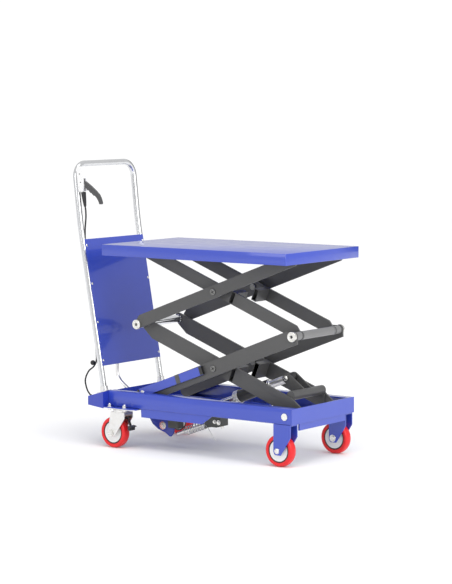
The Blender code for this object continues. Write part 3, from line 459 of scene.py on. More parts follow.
@dataclass(frozen=True)
class PowderCoat(Finish):
    """Sprayed and baked paint on sheet steel.

    Attributes:
        tone: Depth of the soft drift in colour.
        peel: Strength of the orange peel.
        dust: Amount of dust on faces that look up.
        marks: Amount of scratches.
        coat: Weight of the clear gloss.
        specular: Strength of the plain reflection.
        coat_ior: Refractive index of the clear gloss.
        coat_rough: Roughness of the clear gloss.
    """

    tone: float = 0.10
    peel: float = 0.12
    dust: float = 0.10
    marks: float = 0.35
    coat: float = 0.25
    specular: float = 0.5
    coat_ior: float = 1.5
    coat_rough: float = 0.08

    def make(self) -> bpy.types.Material:
        """Build the paint.

        Returns:
            The material.
        """
        material, wiring, shader, spot = self.open()
        tone = self.group(wiring, EFFECTS.cloudy_tone(), spot,
                          Colour=(*self.colour, 1.0), Scale=7.0, Depth=self.tone)
        marks = self.group(wiring, EFFECTS.handling_marks(), spot,
                           Scale=26.0, Amount=self.marks)
        dust = self.group(wiring, EFFECTS.settled_dust(), spot, Amount=self.dust)
        pale = tuple(min(1.0, part * 1.7 + 0.045) for part in self.colour)
        rubbed = wiring.blend(marks.outputs["Mask"], tone.outputs["Colour"], pale)
        dusty = wiring.blend(dust.outputs["Mask"], rubbed, (0.42, 0.41, 0.39))
        wiring.link(dusty, shader.inputs["Base Color"])
        drift = wiring.ramp(wiring.noise(spot, 18.0, 4.0), 0.3, 0.7,
                            self.roughness - 0.05, self.roughness + 0.06)
        rough = wiring.math("ADD", drift, wiring.math(
            "MULTIPLY", dust.outputs["Mask"], 0.35), True)
        wiring.link(rough, shader.inputs["Roughness"])
        peel = self.group(wiring, EFFECTS.orange_peel(), spot, Scale=620.0)
        self.relief(wiring, shader, peel.outputs["Height"], self.peel, 0.0004)
        shader.inputs["Coat Weight"].default_value = self.coat
        shader.inputs["Coat Roughness"].default_value = self.coat_rough
        shader.inputs["Coat IOR"].default_value = self.coat_ior
        shader.inputs["Specular IOR Level"].default_value = self.specular
        return material


@dataclass(frozen=True)
class PlatedMetal(Finish):
    """Zinc, chrome or bare steel.

    Attributes:
        tint: Second colour that the bloom drifts to.
        bloom: Scale of the bloom.
        relief_strength: Strength of the fine relief.
        grime: Amount of dull grime.
    """

    tint: Colour = (0.62, 0.60, 0.52)
    bloom: float = 90.0
    relief_strength: float = 0.08
    grime: float = 0.15

    def make(self) -> bpy.types.Material:
        """Build the metal.

        Returns:
            The material.
        """
        material, wiring, shader, spot = self.open()
        bloom = self.group(wiring, EFFECTS.plating_bloom(), spot, Scale=self.bloom)
        plate = wiring.blend(bloom.outputs["Mask"], self.colour, self.tint)
        smear = wiring.ramp(wiring.noise(spot, 31.0, 5.0, 0.65), 0.54, 0.74, 0.0,
                            self.grime)
        dull = wiring.blend(smear, plate, (0.09, 0.085, 0.08))
        marks = self.group(wiring, EFFECTS.handling_marks(), spot, Scale=60.0,
                           Amount=0.3)
        bright = wiring.blend(marks.outputs["Mask"], dull, (0.85, 0.85, 0.86))
        wiring.link(bright, shader.inputs["Base Color"])
        shader.inputs["Metallic"].default_value = 1.0
        rough = wiring.math("ADD", wiring.ramp(
            bloom.outputs["Mask"], 0.2, 0.9, self.roughness - 0.03,
            self.roughness + 0.06), wiring.math("MULTIPLY", smear, 0.6), True)
        wiring.link(rough, shader.inputs["Roughness"])
        self.relief(wiring, shader, bloom.outputs["Height"], self.relief_strength,
                    0.0002)
        return material


@dataclass(frozen=True)
class Moulded(Finish):
    """Moulded rubber, nylon or cast polyurethane.

    Attributes:
        tone: Depth of the drift in colour.
        grain: Scale of the skin's grain.
        relief_strength: Strength of the grain.
        coat: Weight of the gloss.
        scuff: Amount of pale rubbing.
    """

    tone: float = 0.12
    grain: float = 900.0
    relief_strength: float = 0.15
    coat: float = 0.0
    scuff: float = 0.2

    def make(self) -> bpy.types.Material:
        """Build the moulded skin.

        Returns:
            The material.
        """
        material, wiring, shader, spot = self.open()
        tone = self.group(wiring, EFFECTS.cloudy_tone(), spot,
                          Colour=(*self.colour, 1.0), Scale=16.0, Depth=self.tone)
        marks = self.group(wiring, EFFECTS.handling_marks(), spot, Scale=45.0,
                           Amount=self.scuff)
        dust = self.group(wiring, EFFECTS.settled_dust(), spot, Amount=0.10)
        pale = tuple(min(1.0, part * 1.5 + 0.05) for part in self.colour)
        rubbed = wiring.blend(marks.outputs["Mask"], tone.outputs["Colour"], pale)
        wiring.link(wiring.blend(dust.outputs["Mask"], rubbed, (0.38, 0.37, 0.35)),
                    shader.inputs["Base Color"])
        wiring.link(wiring.ramp(wiring.noise(spot, 40.0, 4.0), 0.3, 0.7,
                                self.roughness - 0.07, self.roughness + 0.07),
                    shader.inputs["Roughness"])
        skin = self.group(wiring, EFFECTS.orange_peel(), spot, Scale=self.grain)
        self.relief(wiring, shader, skin.outputs["Height"], self.relief_strength,
                    0.0003)
        shader.inputs["Coat Weight"].default_value = self.coat
        shader.inputs["Coat Roughness"].default_value = 0.18
        return material


BLUE = PowderCoat("blue_powder_coat", Slot.BLUE, (0.028, 0.060, 0.44), 0.34,
                  tone=0.06, peel=0.05, marks=0.03, dust=0.03, coat=0.85,
                  specular=0.4)
BLUE_TOP = PowderCoat("blue_powder_coat_deck", Slot.BLUE, (0.029, 0.062, 0.44), 0.34,
                      tone=0.06, peel=0.04, marks=0.05, dust=0.06, coat=1.0,
                      specular=0.4, coat_ior=1.85, coat_rough=0.26)
# Darker, duller copy of the blue paint for the rear crossmember: painted shade on the
# same paint as the rest of the base.
BLUE_REAR_SHADED = PowderCoat("blue_powder_coat_box_painted_shade", Slot.BLUE, (0.021, 0.046, 0.42), 0.40,
                       tone=0.06, peel=0.05, marks=0.03, dust=0.03, coat=0.12,
                       specular=0.3)
BLUE_SHADE = PowderCoat("blue_powder_coat_low", Slot.BLUE, (0.020, 0.040, 0.330), 0.38,
                        tone=0.08, peel=0.08, marks=0.05, dust=0.06, coat=0.4)
ARM_GREY = PowderCoat("arm_grey_coat", Slot.GREY, (0.070, 0.070, 0.070), 0.42,
                      tone=0.12, peel=0.18, coat=0.10, marks=0.15, dust=0.06)
TUBE_GREY = PowderCoat("cross_tube_coat", Slot.GREY, (0.17, 0.17, 0.172), 0.36,
                       tone=0.12, peel=0.18, coat=0.15, marks=0.3, dust=0.05)
CASTING = PowderCoat("pump_casting_coat", Slot.GREY, (0.060, 0.064, 0.058), 0.5,
                     tone=0.2, peel=0.6, coat=0.0, marks=0.2, dust=0.1)
BLACK = PowderCoat("black_coat", Slot.BLACK, (0.012, 0.012, 0.013), 0.36,
                   tone=0.15, peel=0.2, coat=0.2, marks=0.2, dust=0.12)
ZINC = PlatedMetal("bright_zinc", Slot.ZINC, (0.88, 0.88, 0.875), 0.32,
                   tint=(0.74, 0.73, 0.70), grime=0.08)
PIN_DARK = PlatedMetal("pin_dark_oxide", Slot.ZINC, (0.16, 0.16, 0.16), 0.34,
                       tint=(0.30, 0.30, 0.29), bloom=160.0, grime=0.3)
HOUSING = PowderCoat("housing_white_coat", Slot.ZINC, (0.80, 0.80, 0.80), 0.38,
                     tone=0.04, peel=0.12, coat=0.3, marks=0.08, dust=0.03)
FASTENER = PlatedMetal("fastener_zinc", Slot.ZINC, (0.88, 0.88, 0.88), 0.24,
                       tint=(0.74, 0.73, 0.68), bloom=160.0, grime=0.08)
CHROME = PlatedMetal("hard_chrome", Slot.CHROME, (0.80, 0.81, 0.83), 0.09,
                     tint=(0.74, 0.75, 0.78), bloom=40.0, relief_strength=0.02,
                     grime=0.05)
HANDLE_CHROME = PlatedMetal("handle_bright_tube", Slot.TUBE, (0.74, 0.745, 0.75), 0.13,
                            tint=(0.68, 0.69, 0.71), bloom=30.0,
                            relief_strength=0.03, grime=0.06)
SPRING = PlatedMetal("spring_wire", Slot.SPRING, (0.80, 0.80, 0.79), 0.24,
                     tint=(0.62, 0.61, 0.58), bloom=120.0, grime=0.2)
HUB = Moulded("hub_pale_nylon", Slot.ZINC, (0.76, 0.77, 0.76), 0.38, tone=0.06,
              coat=0.1, scuff=0.15)
RED = Moulded("red_polyurethane", Slot.TREAD, (0.70, 0.004, 0.007), 0.40,
              tone=0.10, grain=500.0, relief_strength=0.06, coat=0.12, scuff=0.10)
RUBBER = Moulded("black_rubber", Slot.PLASTIC, (0.016, 0.016, 0.017), 0.50,
                 tone=0.2, relief_strength=0.25)
NYLON = Moulded("black_nylon", Slot.PLASTIC, (0.020, 0.020, 0.021), 0.36, coat=0.15)
LEVER = Moulded("lever_grip_plastic", Slot.BLACK, (0.060, 0.060, 0.062), 0.42,
                tone=0.1, coat=0.1, scuff=0.3)
CAP_RED = Moulded("oil_cap_red", Slot.TREAD, (0.50, 0.02, 0.03), 0.35, coat=0.2)


class PaintShop:
    """Keeps one material of each finish."""

    def __init__(self) -> None:
        """Start with nothing mixed."""
        self.shelf: dict[str, bpy.types.Material] = {}

    def coat(self, finish: Finish) -> bpy.types.Material:
        """Give the material of a finish, made at its first use.

        Args:
            finish: Finish that is wanted.

        Returns:
            The one material of that finish.
        """
        if finish.name not in self.shelf:
            self.shelf[finish.name] = finish.make()
        return self.shelf[finish.name]


PAINT = PaintShop()


# ---- workbench -------------------------------------------------------------------


def low(node: str) -> Vector:
    """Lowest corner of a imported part."""
    return Vector(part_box(node)[0])


def high(node: str) -> Vector:
    """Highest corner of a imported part."""
    return Vector(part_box(node)[1])


def middle(node: str) -> Vector:
    """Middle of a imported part's box."""
    return (low(node) + high(node)) / 2


def body_of(node: str) -> str:
    """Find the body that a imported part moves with.

    Args:
        node: Name of the part.

    Returns:
        Name of its body.
    """
    for name, listed in frame["record"]["behaviour"]["bodies"].items():
        members = listed if isinstance(listed, list) else listed.get("nodes", [])
        if node in members:
            return name
    raise KeyError(node)


def outer_face() -> float:
    """Distance of the outer arms' outward faces from the middle plane."""
    return high("upper_outer_arm_left").y


def inner_face() -> float:
    """Distance of the inner arms' outward faces from the middle plane."""
    return high("lower_inner_arm_left").y


def lift_pin_spot() -> Vector:
    """Middle of the lift pin, round which the barrel's eye is turned."""
    top = high("cylinder_barrel")
    return Vector((top.x - EYE_RADIUS, 0.0, top.z - EYE_RADIUS))


class Bench:
    """Makes meshes and fits them to the frame."""

    @staticmethod
    def fit(name: str, work: bmesh.types.BMesh, body: str, finishes: Sequence[Finish],
            stands_for: Sequence[str] = (), smooth: float = 35.0,
            recalc: bool = True) -> bpy.types.Object:
        """Turn a worked mesh into a dressed piece.

        Args:
            name: Name of the piece.
            work: Geometry in the frame's coordinates.
            body: Body that it rides on.
            finishes: Finishes, in the order of the faces' material numbers.
            stands_for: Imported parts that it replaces.
            smooth: Edges sharper than this many degrees stay sharp.
            recalc: Whether the faces are turned outward first.

        Returns:
            The piece.
        """
        if recalc:
            bmesh.ops.recalc_face_normals(work, faces=work.faces)
        limit = math.radians(smooth)
        for face in work.faces:
            face.smooth = True
        for edge in work.edges:
            edge.smooth = (len(edge.link_faces) == 2
                           and edge.calc_face_angle(0.0) < limit)
        mesh = bpy.data.meshes.new(name)
        work.to_mesh(mesh)
        work.free()
        piece = bpy.data.objects.new(name, mesh)
        bpy.context.scene.collection.objects.link(piece)
        for finish in finishes:
            mesh.materials.append(PAINT.coat(finish))
        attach(piece, body)
        if stands_for:
            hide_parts(*stands_for)
        LOG.info("%s rides on %s", name, body)
        return piece

    @staticmethod
    def softened(node: str, finishes: Sequence[Finish], width: float = 0.0010,
                 choose: Callable[[Vector], bool] | None = None,
                 segments: int = 2) -> bpy.types.Object:
        """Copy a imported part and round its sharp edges.

        Args:
            node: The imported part.
            finishes: Finishes to dress it in.
            width: Width of the rounding.
            choose: Says of a point whether it is in the second finish.
            segments: Steps across each rounded edge.

        Returns:
            The piece that stands for the part.
        """
        work = bmesh.new()
        work.from_mesh(frame["nodes"][node].data)
        for layer in list(work.loops.layers.uv):
            work.loops.layers.uv.remove(layer)
        bmesh.ops.remove_doubles(work, verts=work.verts, dist=1e-5)
        bmesh.ops.dissolve_limit(work, angle_limit=math.radians(1.0),
                                 verts=work.verts, edges=work.edges)
        for face in work.faces:
            face.material_index = int(choose is not None and all(
                choose(corner.co) for corner in face.verts))
        piece = Bench.fit(node + "_skin", work, body_of(node), finishes, (node,),
                          recalc=False)
        rounding = piece.modifiers.new("rounded_edges", "BEVEL")
        rounding.width = width
        rounding.segments = segments
        rounding.limit_method = "ANGLE"
        rounding.angle_limit = math.radians(38.0)
        rounding.harden_normals = True
        rounding.miter_outer = "MITER_ARC"
        return piece

    @staticmethod
    def lathe(work: bmesh.types.BMesh, profile: Profile, centre: Point,
              axis: Axis | Vector = Axis.Y, steps: int = 48,
              tones: Sequence[int] | None = None, closed: bool = False) -> None:
        """Turn a profile about an axis into a worked mesh.

        Args:
            work: Mesh to add to.
            profile: (radius, station) points, stations along the axis.
            centre: Origin of the stations.
            axis: Direction of the axis.
            steps: Facets round the axis.
            tones: Material number of each span of the profile.
            closed: Whether the profile's last point joins its first.
        """
        way = Vector(axis.value) if isinstance(axis, Axis) else axis.normalized()
        side = way.orthogonal().normalized()
        other = way.cross(side)
        origin = Vector(centre)
        rings: list[list[bmesh.types.BMVert]] = []
        for radius, station in profile:
            spot = origin + way * station
            if radius < 1e-7:
                rings.append([work.verts.new(spot)])
                continue
            rings.append([work.verts.new(
                spot + side * (radius * math.cos(2 * math.pi * k / steps))
                + other * (radius * math.sin(2 * math.pi * k / steps)))
                for k in range(steps)])
        pairs = list(zip(rings, rings[1:]))
        if closed:
            pairs.append((rings[-1], rings[0]))
        for number, (first, second) in enumerate(pairs):
            for k in range(steps):
                after = (k + 1) % steps
                if len(first) == 1 and len(second) == 1:
                    break
                if len(first) == 1:
                    corners = [first[0], second[after], second[k]]
                elif len(second) == 1:
                    corners = [first[k], first[after], second[0]]
                else:
                    corners = [first[k], first[after], second[after], second[k]]
                face = work.faces.new(corners)
                face.material_index = tones[number] if tones else 0

    @staticmethod
    def sweep(work: bmesh.types.BMesh, spots: Sequence[Vector], radius: float,
              sides: int = 16, tone: int = 0) -> None:
        """Draw a round section along a path, with closed ends.

        Args:
            work: Mesh to add to.
            spots: Points of the path.
            radius: Radius of the section.
            sides: Facets round the section.
            tone: Material number.
        """
        rings = []
        way = (spots[1] - spots[0]).normalized()
        side = way.orthogonal().normalized()
        for index, spot in enumerate(spots):
            before = spots[max(index - 1, 0)]
            after = spots[min(index + 1, len(spots) - 1)]
            fresh = (after - before).normalized()
            side = (side - fresh * side.dot(fresh)).normalized()
            other = fresh.cross(side)
            rings.append([work.verts.new(
                spot + side * (radius * math.cos(2 * math.pi * k / sides))
                + other * (radius * math.sin(2 * math.pi * k / sides)))
                for k in range(sides)])
        for first, second in zip(rings, rings[1:]):
            for k in range(sides):
                after = (k + 1) % sides
                face = work.faces.new((first[k], first[after], second[after],
                                       second[k]))
                face.material_index = tone
        for ring in (list(reversed(rings[0])), rings[-1]):
            work.faces.new(ring).material_index = tone

    @staticmethod
    def plate(work: bmesh.types.BMesh, outline: Sequence[Point], axis: Axis,
              start: float, end: float, tone: int = 0, rounding: float = 0.0) -> None:
        """Draw an outline out between two stations.

        Args:
            work: Mesh to add to.
            outline: Points in the plane square to the axis, in XYZ order.
            axis: Direction that it is drawn along.
            start: First station.
            end: Last station.
            tone: Material number.
            rounding: Width of the rounded edges.
        """
        def place(first: float, second: float, station: float) -> Vector:
            """Put a point of the outline at a station.

            Args:
                first: First coordinate in the outline's plane.
                second: Second coordinate in the outline's plane.
                station: Place along the axis.

            Returns:
                The point in space.
            """
            if axis is Axis.X:
                return Vector((station, first, second))
            if axis is Axis.Y:
                return Vector((first, station, second))
            return Vector((first, second, station))

        lower = [work.verts.new(place(a, b, start)) for a, b in outline]
        upper = [work.verts.new(place(a, b, end)) for a, b in outline]
        faces = [work.faces.new(lower), work.faces.new(list(reversed(upper)))]
        count = len(outline)
        for k in range(count):
            after = (k + 1) % count
            faces.append(work.faces.new((lower[k], upper[k], upper[after],
                                         lower[after])))
        for face in faces:
            face.material_index = tone
        if rounding:
            edges = {edge for face in faces for edge in face.edges
                     if edge.calc_face_angle(0.0) > 0.6}
            bmesh.ops.bevel(work, geom=list(edges), offset=rounding, segments=2,
                            profile=0.5, affect="EDGES", material=tone)

    @staticmethod
    def hex_head(work: bmesh.types.BMesh, centre: Point, way: Point, across: float,
                 height: float, tone: int = 0, washer: bool = True) -> None:
        """Add a chamfered hexagon head on a round washer.

        Args:
            work: Mesh to add to.
            centre: Middle of the face that it stands on.
            way: Direction that it stands up in.
            across: Width across the flats.
            height: Height of the head above its washer.
            tone: Material number.
            washer: Whether there is a washer.
        """
        up = Vector(way).normalized()
        corner = across / math.sqrt(3)
        under = 0.0
        if washer:
            under = height * 0.22
            Bench.lathe(work, [(0.0, 0.0), (across * 0.86, 0.0), (across * 0.88,
                        under * 0.3), (across * 0.86, under), (0.0, under)],
                        centre, up, 32, [tone] * 4)
        Bench.lathe(work, [(0.0, under), (corner, under),
                           (corner, under + height * 0.82),
                           (corner * 0.88, under + height), (0.0, under + height)],
                    centre, up, 6, [tone] * 4)

    @staticmethod
    def socket_face(work: bmesh.types.BMesh, centre: Point, way: Point, radius: float,
                    thick: float, tone: int = 0, dark: int = 1) -> None:
        """Add a round screw face with a turned groove and a hexagon socket.

        Args:
            work: Mesh to add to.
            centre: Middle of the face that it stands on.
            way: Direction that it looks in.
            radius: Radius of the face.
            thick: How far it stands out.
            tone: Material number of the metal.
            dark: Material number of the socket's floor, painted dark as shade in the
                socket.
        """
        up = Vector(way).normalized()
        rim = radius * 0.80
        Bench.lathe(work, [(radius, 0.0), (radius, thick * 0.7),
                           (radius - thick * 0.3, thick), (rim, thick),
                           (rim - 0.0006, thick * 0.45), (rim - 0.0012, thick * 0.45),
                           (rim - 0.0018, thick * 0.9), (radius * 0.40, thick * 0.9)],
                    centre, up, 48, [tone] * 7)
        # The socket's floor takes the dark finish: painted shade in the recess.
        Bench.lathe(work, [(radius * 0.46, thick * 0.9), (radius * 0.34, thick * 0.9),
                           (radius * 0.32, thick * 0.2), (0.0, thick * 0.2)],
                    centre, up, 6, [tone, tone, dark])

    @staticmethod
    def box_outline(first: tuple[float, float],
                    second: tuple[float, float]) -> list[tuple[float, float]]:
        """Corners of a rectangle between two spans."""
        return [(first[0], second[0]), (first[1], second[0]),
                (first[1], second[1]), (first[0], second[1])]


def smooth_path(knots: Iterable[Point], steps: int = 10) -> list[Vector]:
    """Points on a smooth curve through the knots.

    Args:
        knots: Points that the curve passes through.
        steps: Points between each two knots.

    Returns:
        The points of the curve.
    """
    marks = [Vector(knot) for knot in knots]
    padded = [2 * marks[0] - marks[1], *marks, 2 * marks[-1] - marks[-2]]
    spots = []
    for index in range(1, len(padded) - 2):
        before, first, second, after = padded[index - 1:index + 3]
        for step in range(steps):
            t = step / steps
            spots.append(0.5 * (
                2 * first + (second - before) * t
                + (2 * before - 5 * first + 4 * second - after) * t ** 2
                + (3 * first - before - 3 * second + after) * t ** 3))
    spots.append(marks[-1])
    return spots


# ---- sub-assemblies --------------------------------------------------------------


@dataclass
class BaseFrame:
    """Rails, end plates, forks and caster plates that everything stands on.

    Attributes:
        rounding: Width of the rounded sheet edges.
        bolt_across: Width across the flats of the caster bolts.
        bolt_inset: How far in from the plate's outer edge the bolts stand.
        bolt_shares: Where the bolts stand along the plate.
        axle_head: Radius of the domed axle heads.
        nut_across: Width across the flats of the axle nuts.
        clip: Length of the clipped corner of a caster plate.
        inset: How far the plated swivel plate stands in from the painted pad.
        cap: Radius of the pivot shaft's end faces.
        cap_thick: Thickness of those faces.
        shaft: Radius of the pivot shaft.
        collar: Radius of the pivot shaft's inner collars.
        mount_bolts: How far back from the mount's front end its bolts stand.
    """

    rounding: float = 0.0014
    bolt_across: float = 0.0125
    bolt_inset: float = 0.0145
    bolt_shares: tuple[float, float] = (0.14, 0.64)
    axle_head: float = 0.0105
    nut_across: float = 0.0165
    clip: float = 0.012
    inset: float = 0.0012
    cap: float = 0.0140
    cap_thick: float = 0.0012
    shaft: float = 0.0124
    collar: float = 0.0158
    mount_bolts: tuple[float, float] = (0.238, 0.214)

    def build(self) -> None:
        """Build the whole base."""
        self.sheet_parts()
        self.forks()
        self.caster_plates()
        self.pivot_shaft()
        self.slide_details()

    def sheet_parts(self) -> None:
        """Dress the folded and welded sheet parts."""
        for side in Side:
            Bench.softened("base_side_rail_" + side.word, [BLUE], self.rounding)
        Bench.softened("base_front_plate", [BLUE], self.rounding)
        # The rear crossmember takes the darker copy of the blue paint as painted shade.
        Bench.softened("base_rear_crossmember", [BLUE_REAR_SHADED], 0.0009)

    def forks(self) -> None:
        """Dress the fixed forks and add their axle bolts."""
        rim = self.axle_head + 0.0007
        for side in Side:
            node = "front_fork_" + side.word
            hub = middle("front_wheel_" + side.word)

            def metal(spot: Vector, hub: Vector = hub) -> bool:
                """Say whether a point is on the axle."""
                return math.hypot(spot.x - hub.x, spot.z - hub.z) < rim

            Bench.softened(node, [BLUE, FASTENER], 0.0011, metal)
            work = bmesh.new()
            outer = high(node).y if side is Side.LEFT else low(node).y
            edge = hub.y + side.sign * 0.0245
            reach = abs(outer - edge) - 0.0003
            dome = [(0.0, reach)] + [
                (self.axle_head * math.cos(math.radians(a)),
                 reach * 0.35 + reach * 0.65 * math.sin(math.radians(a)))
                for a in (75, 60, 45, 30, 15, 0)] + [(rim, reach * 0.2), (rim, 0.0)]
            Bench.lathe(work, dome, (hub.x, edge, hub.z),
                        Vector((0.0, side.sign, 0.0)), 32)
            inner = hub.y - side.sign * 0.0248
            Bench.hex_head(work, (hub.x, inner, hub.z), (0.0, -side.sign, 0.0),
                           self.nut_across, 0.0044)
            Bench.fit("front_axle_bolt_" + side.word, work, "base", [FASTENER])

    def caster_plates(self) -> None:
        """Build each caster plate as a painted pad over a plated swivel plate."""
        for side in Side:
            node = "caster_plate_" + side.word
            start, end = low(node), high(node)
            out = end.y if side is Side.LEFT else start.y
            near = start.y if side is Side.LEFT else end.y
            clip, inset = self.clip, self.inset
            outline = [(start.x, near), (end.x, near),
                       (end.x, out - side.sign * clip), (end.x - clip, out),
                       (start.x, out)]
            work = bmesh.new()
            split = (start.z + end.z) / 2
            Bench.plate(work, outline, Axis.Z, split + 0.0001, end.z, 0, 0.0006)
            lower = [(start.x + inset, near + side.sign * inset),
                     (end.x - inset, near + side.sign * inset),
                     (end.x - inset, out - side.sign * (clip + inset)),
                     (end.x - clip, out - side.sign * inset),
                     (start.x + inset, out - side.sign * inset)]
            Bench.plate(work, lower, Axis.Z, start.z, split - 0.0001, 1, 0.0006)
            Bench.fit("caster_plate_pair_" + side.word, work, "base", [BLUE, ZINC],
                      (node,))
            work = bmesh.new()
            y = out - side.sign * self.bolt_inset
            for share in self.bolt_shares:
                x = start.x + (end.x - start.x) * share
                Bench.hex_head(work, (x, y, end.z), (0.0, 0.0, 1.0),
                               self.bolt_across, 0.0095)
                Bench.lathe(work, [(0.0, 0.0150), (0.0036, 0.0150), (0.0040, 0.0142),
                                   (0.0040, 0.0090), (0.0, 0.0090)],
                            (x, y, end.z), Axis.Z, 20)
                Bench.hex_head(work, (x, y, start.z), (0.0, 0.0, -1.0),
                               self.bolt_across, 0.0055)
            Bench.fit("caster_plate_bolts_" + side.word, work, "base", [FASTENER])

    def pivot_shaft(self) -> None:
        """Build the fixed pivot shaft with its two bright end faces."""
        node = "base_front_pivot_shaft"
        centre = middle(node)
        half = high(node).y - centre.y
        rail = high("base_side_rail_left").y + SEAT_GAP
        arm_in = inner_face() - ARM_DEPTH
        face = half - self.cap_thick
        work = bmesh.new()
        inner = [(self.cap, face), (self.cap, rail), (self.shaft, rail),
                 (self.shaft, arm_in), (self.collar, arm_in),
                 (self.collar, arm_in - 0.0099), (self.shaft, arm_in - 0.0109)]
        profile = inner + [(radius, -station) for radius, station in reversed(inner)]
        Bench.lathe(work, profile, centre, Axis.Y, 40)
        for side in Side:
            Bench.lathe(work, [(self.cap, 0.0), (self.cap, 0.0006),
                               (self.cap - 0.0008, self.cap_thick),
                               (0.0034, self.cap_thick), (0.0026, 0.0004),
                               (0.0, 0.0004)],
                        (centre.x, side.sign * face, centre.z),
                        Vector((0.0, side.sign, 0.0)), 40, [0] * 5)
        Bench.fit("base_pivot_shaft_turned", work, "base", [FASTENER], (node,))

    def slide_details(self) -> None:
        """Add the bolts that hold the pump mount to the rails."""
        work = bmesh.new()
        end = high("pump_mount")
        for side in Side:
            rail_low = low("base_side_rail_" + side.word).z
            y = side.sign * (high("base_side_rail_left").y - 0.026)
            for back in self.mount_bolts:
                Bench.hex_head(work, (end.x - back, y, rail_low + 0.0294),
                               (0.0, 0.0, -1.0), 0.010, 0.006)
        Bench.fit("mount_bolts", work, "base", [FASTENER])


@dataclass
class PushHandle:
    """Bent chrome tube, its sheet panel, and the release lever with its cable.

    Attributes:
        tube_radius: Radius of the tube.
        bend: Radius of the two upper bends.
        knee_reach: Half length of the soft bend at the knee.
        knee: Offset of the knee from the deck's middle in X, and its height.
        top: Offset of the cross bar's middle line in X, and its height.
        foot: Offset of the foot in X, and its height.
        screws: Number of screws on each edge of the panel.
        lever_pin: Offset of the lever's pin in X, and its height.
        cable_radius: Radius of the cable.
        ball: Radius of the rubber ball on the cable.
        cable: Knots of the cable, X from the deck's middle.
        origin: X of the deck's middle.
    """

    tube_radius: float = 0.0125
    bend: float = 0.058
    knee_reach: float = 0.045
    knee: tuple[float, float] = (-0.6235, 0.900)
    top: tuple[float, float] = (-0.6495, 1.1475)
    foot: tuple[float, float] = (-0.5052, 0.237)
    screws: int = 4
    cable: tuple[tuple[float, float, float], ...] = (
        (-0.6106, -0.179, 1.0343), (-0.606, -0.176, 0.985), (-0.605, -0.171, 0.936),
        (-0.619, -0.161, 0.842), (-0.605, -0.155, 0.640), (-0.578, -0.155, 0.440),
        (-0.566, -0.158, 0.350), (-0.578, -0.160, 0.316), (-0.608, -0.160, 0.292),
        (-0.626, -0.160, 0.255), (-0.618, -0.160, 0.218), (-0.602, -0.160, 0.197),
        (-0.580, -0.160, 0.184))
    lever_pin: tuple[float, float] = (-0.612, 1.073)
    cable_radius: float = 0.0034
    ball: float = 0.0105
    origin: float = field(default_factory=lambda: middle("table_deck").x)

    def at(self, spot: tuple[float, float], y: float = 0.0) -> Vector:
        """Frame position of an offset and height."""
        return Vector((self.origin + spot[0], y, spot[1]))

    def build(self) -> None:
        """Build the handle and what it carries."""
        self.tube()
        self.brackets()
        self.panel()
        self.release()
        self.cable_run()

    def tube(self) -> None:
        """Sweep the bent tube with fine bends."""
        foot, knee, top = self.at(self.foot), self.at(self.knee), self.at(self.top)
        low_way = (knee - foot).normalized()
        foot = foot - low_way * 0.010
        low_way = (knee - foot).normalized()
        high_way = (top - knee).normalized()
        half_width = high("handle_tube").y - self.tube_radius
        out = Vector((0.0, half_width, 0.0))
        half = [foot - out, foot - out + low_way * 0.2, foot - out + low_way * 0.4]
        for step in range(13):
            t = step / 12
            half.append((1 - t) ** 2 * (knee - low_way * self.knee_reach)
                        + 2 * t * (1 - t) * knee
                        + t ** 2 * (knee + high_way * self.knee_reach) - out)
        for step in range(17):
            angle = math.pi / 2 * step / 16
            inward = self.bend * (1 - math.cos(angle))
            down = self.bend * (1 - math.sin(angle))
            half.append(top - high_way * down
                        - Vector((0.0, half_width - inward, 0.0)))
        whole = half + [Vector((p.x, -p.y, p.z)) for p in reversed(half)]
        work = bmesh.new()
        Bench.sweep(work, whole, self.tube_radius, 32)
        Bench.fit("handle_bent_tube", work, "base", [HANDLE_CHROME], ("handle_tube",),
                  smooth=50.0)

    def brackets(self) -> None:
        """Dress the sockets and add a pinch screw to each."""
        for side in Side:
            node = "handle_bracket_" + side.word
            Bench.softened(node, [ZINC], 0.0007)
            work = bmesh.new()
            start, end = low(node), high(node)
            y = (start.y + end.y) / 2
            Bench.hex_head(work, (end.x - 0.0085, y, end.z - 0.0187), (0.02, 0.0, 1.0),
                           0.0080, 0.0042)
            Bench.fit("handle_pinch_screw_" + side.word, work, "base", [FASTENER])

    def panel(self) -> None:
        """Dress the panel and add its screws."""
        node = "handle_panel"
        Bench.softened(node, [BLUE], 0.0006)
        start, end = low(node), high(node)
        way = (self.at(self.knee) - self.at(self.foot)).normalized()
        ahead = Vector((way.z, 0.0, -way.x))
        off = self.tube_radius + 0.0003 + 0.002

        def spot(height: float, y: float, lift: float = 0.0) -> Vector:
            """Find a point on the panel's front face.

            Args:
                height: Height of the point before it is lifted off.
                y: Distance from the middle plane.
                lift: How far it stands off the face.

            Returns:
                The point in space.
            """
            share = (height - self.foot[1]) / (self.knee[1] - self.foot[1])
            base = self.at(self.foot, y) + (self.at(self.knee)
                                            - self.at(self.foot)) * share
            return base + ahead * (off + lift)

        work = bmesh.new()
        half = high("handle_tube").y - self.tube_radius
        step = (end.z - start.z - 0.05) / (self.screws - 1)
        for side in Side:
            for index in range(self.screws):
                height = start.z + 0.022 + step * index
                centre = spot(height, side.sign * (half - 0.004))
                dome = [(0.0, 0.0028), (0.0022, 0.0026), (0.0042, 0.0016),
                        (0.0052, 0.0004), (0.0052, -0.0004)]
                Bench.lathe(work, dome, centre, ahead, 20)
        Bench.fit("panel_screws", work, "base", [FASTENER])

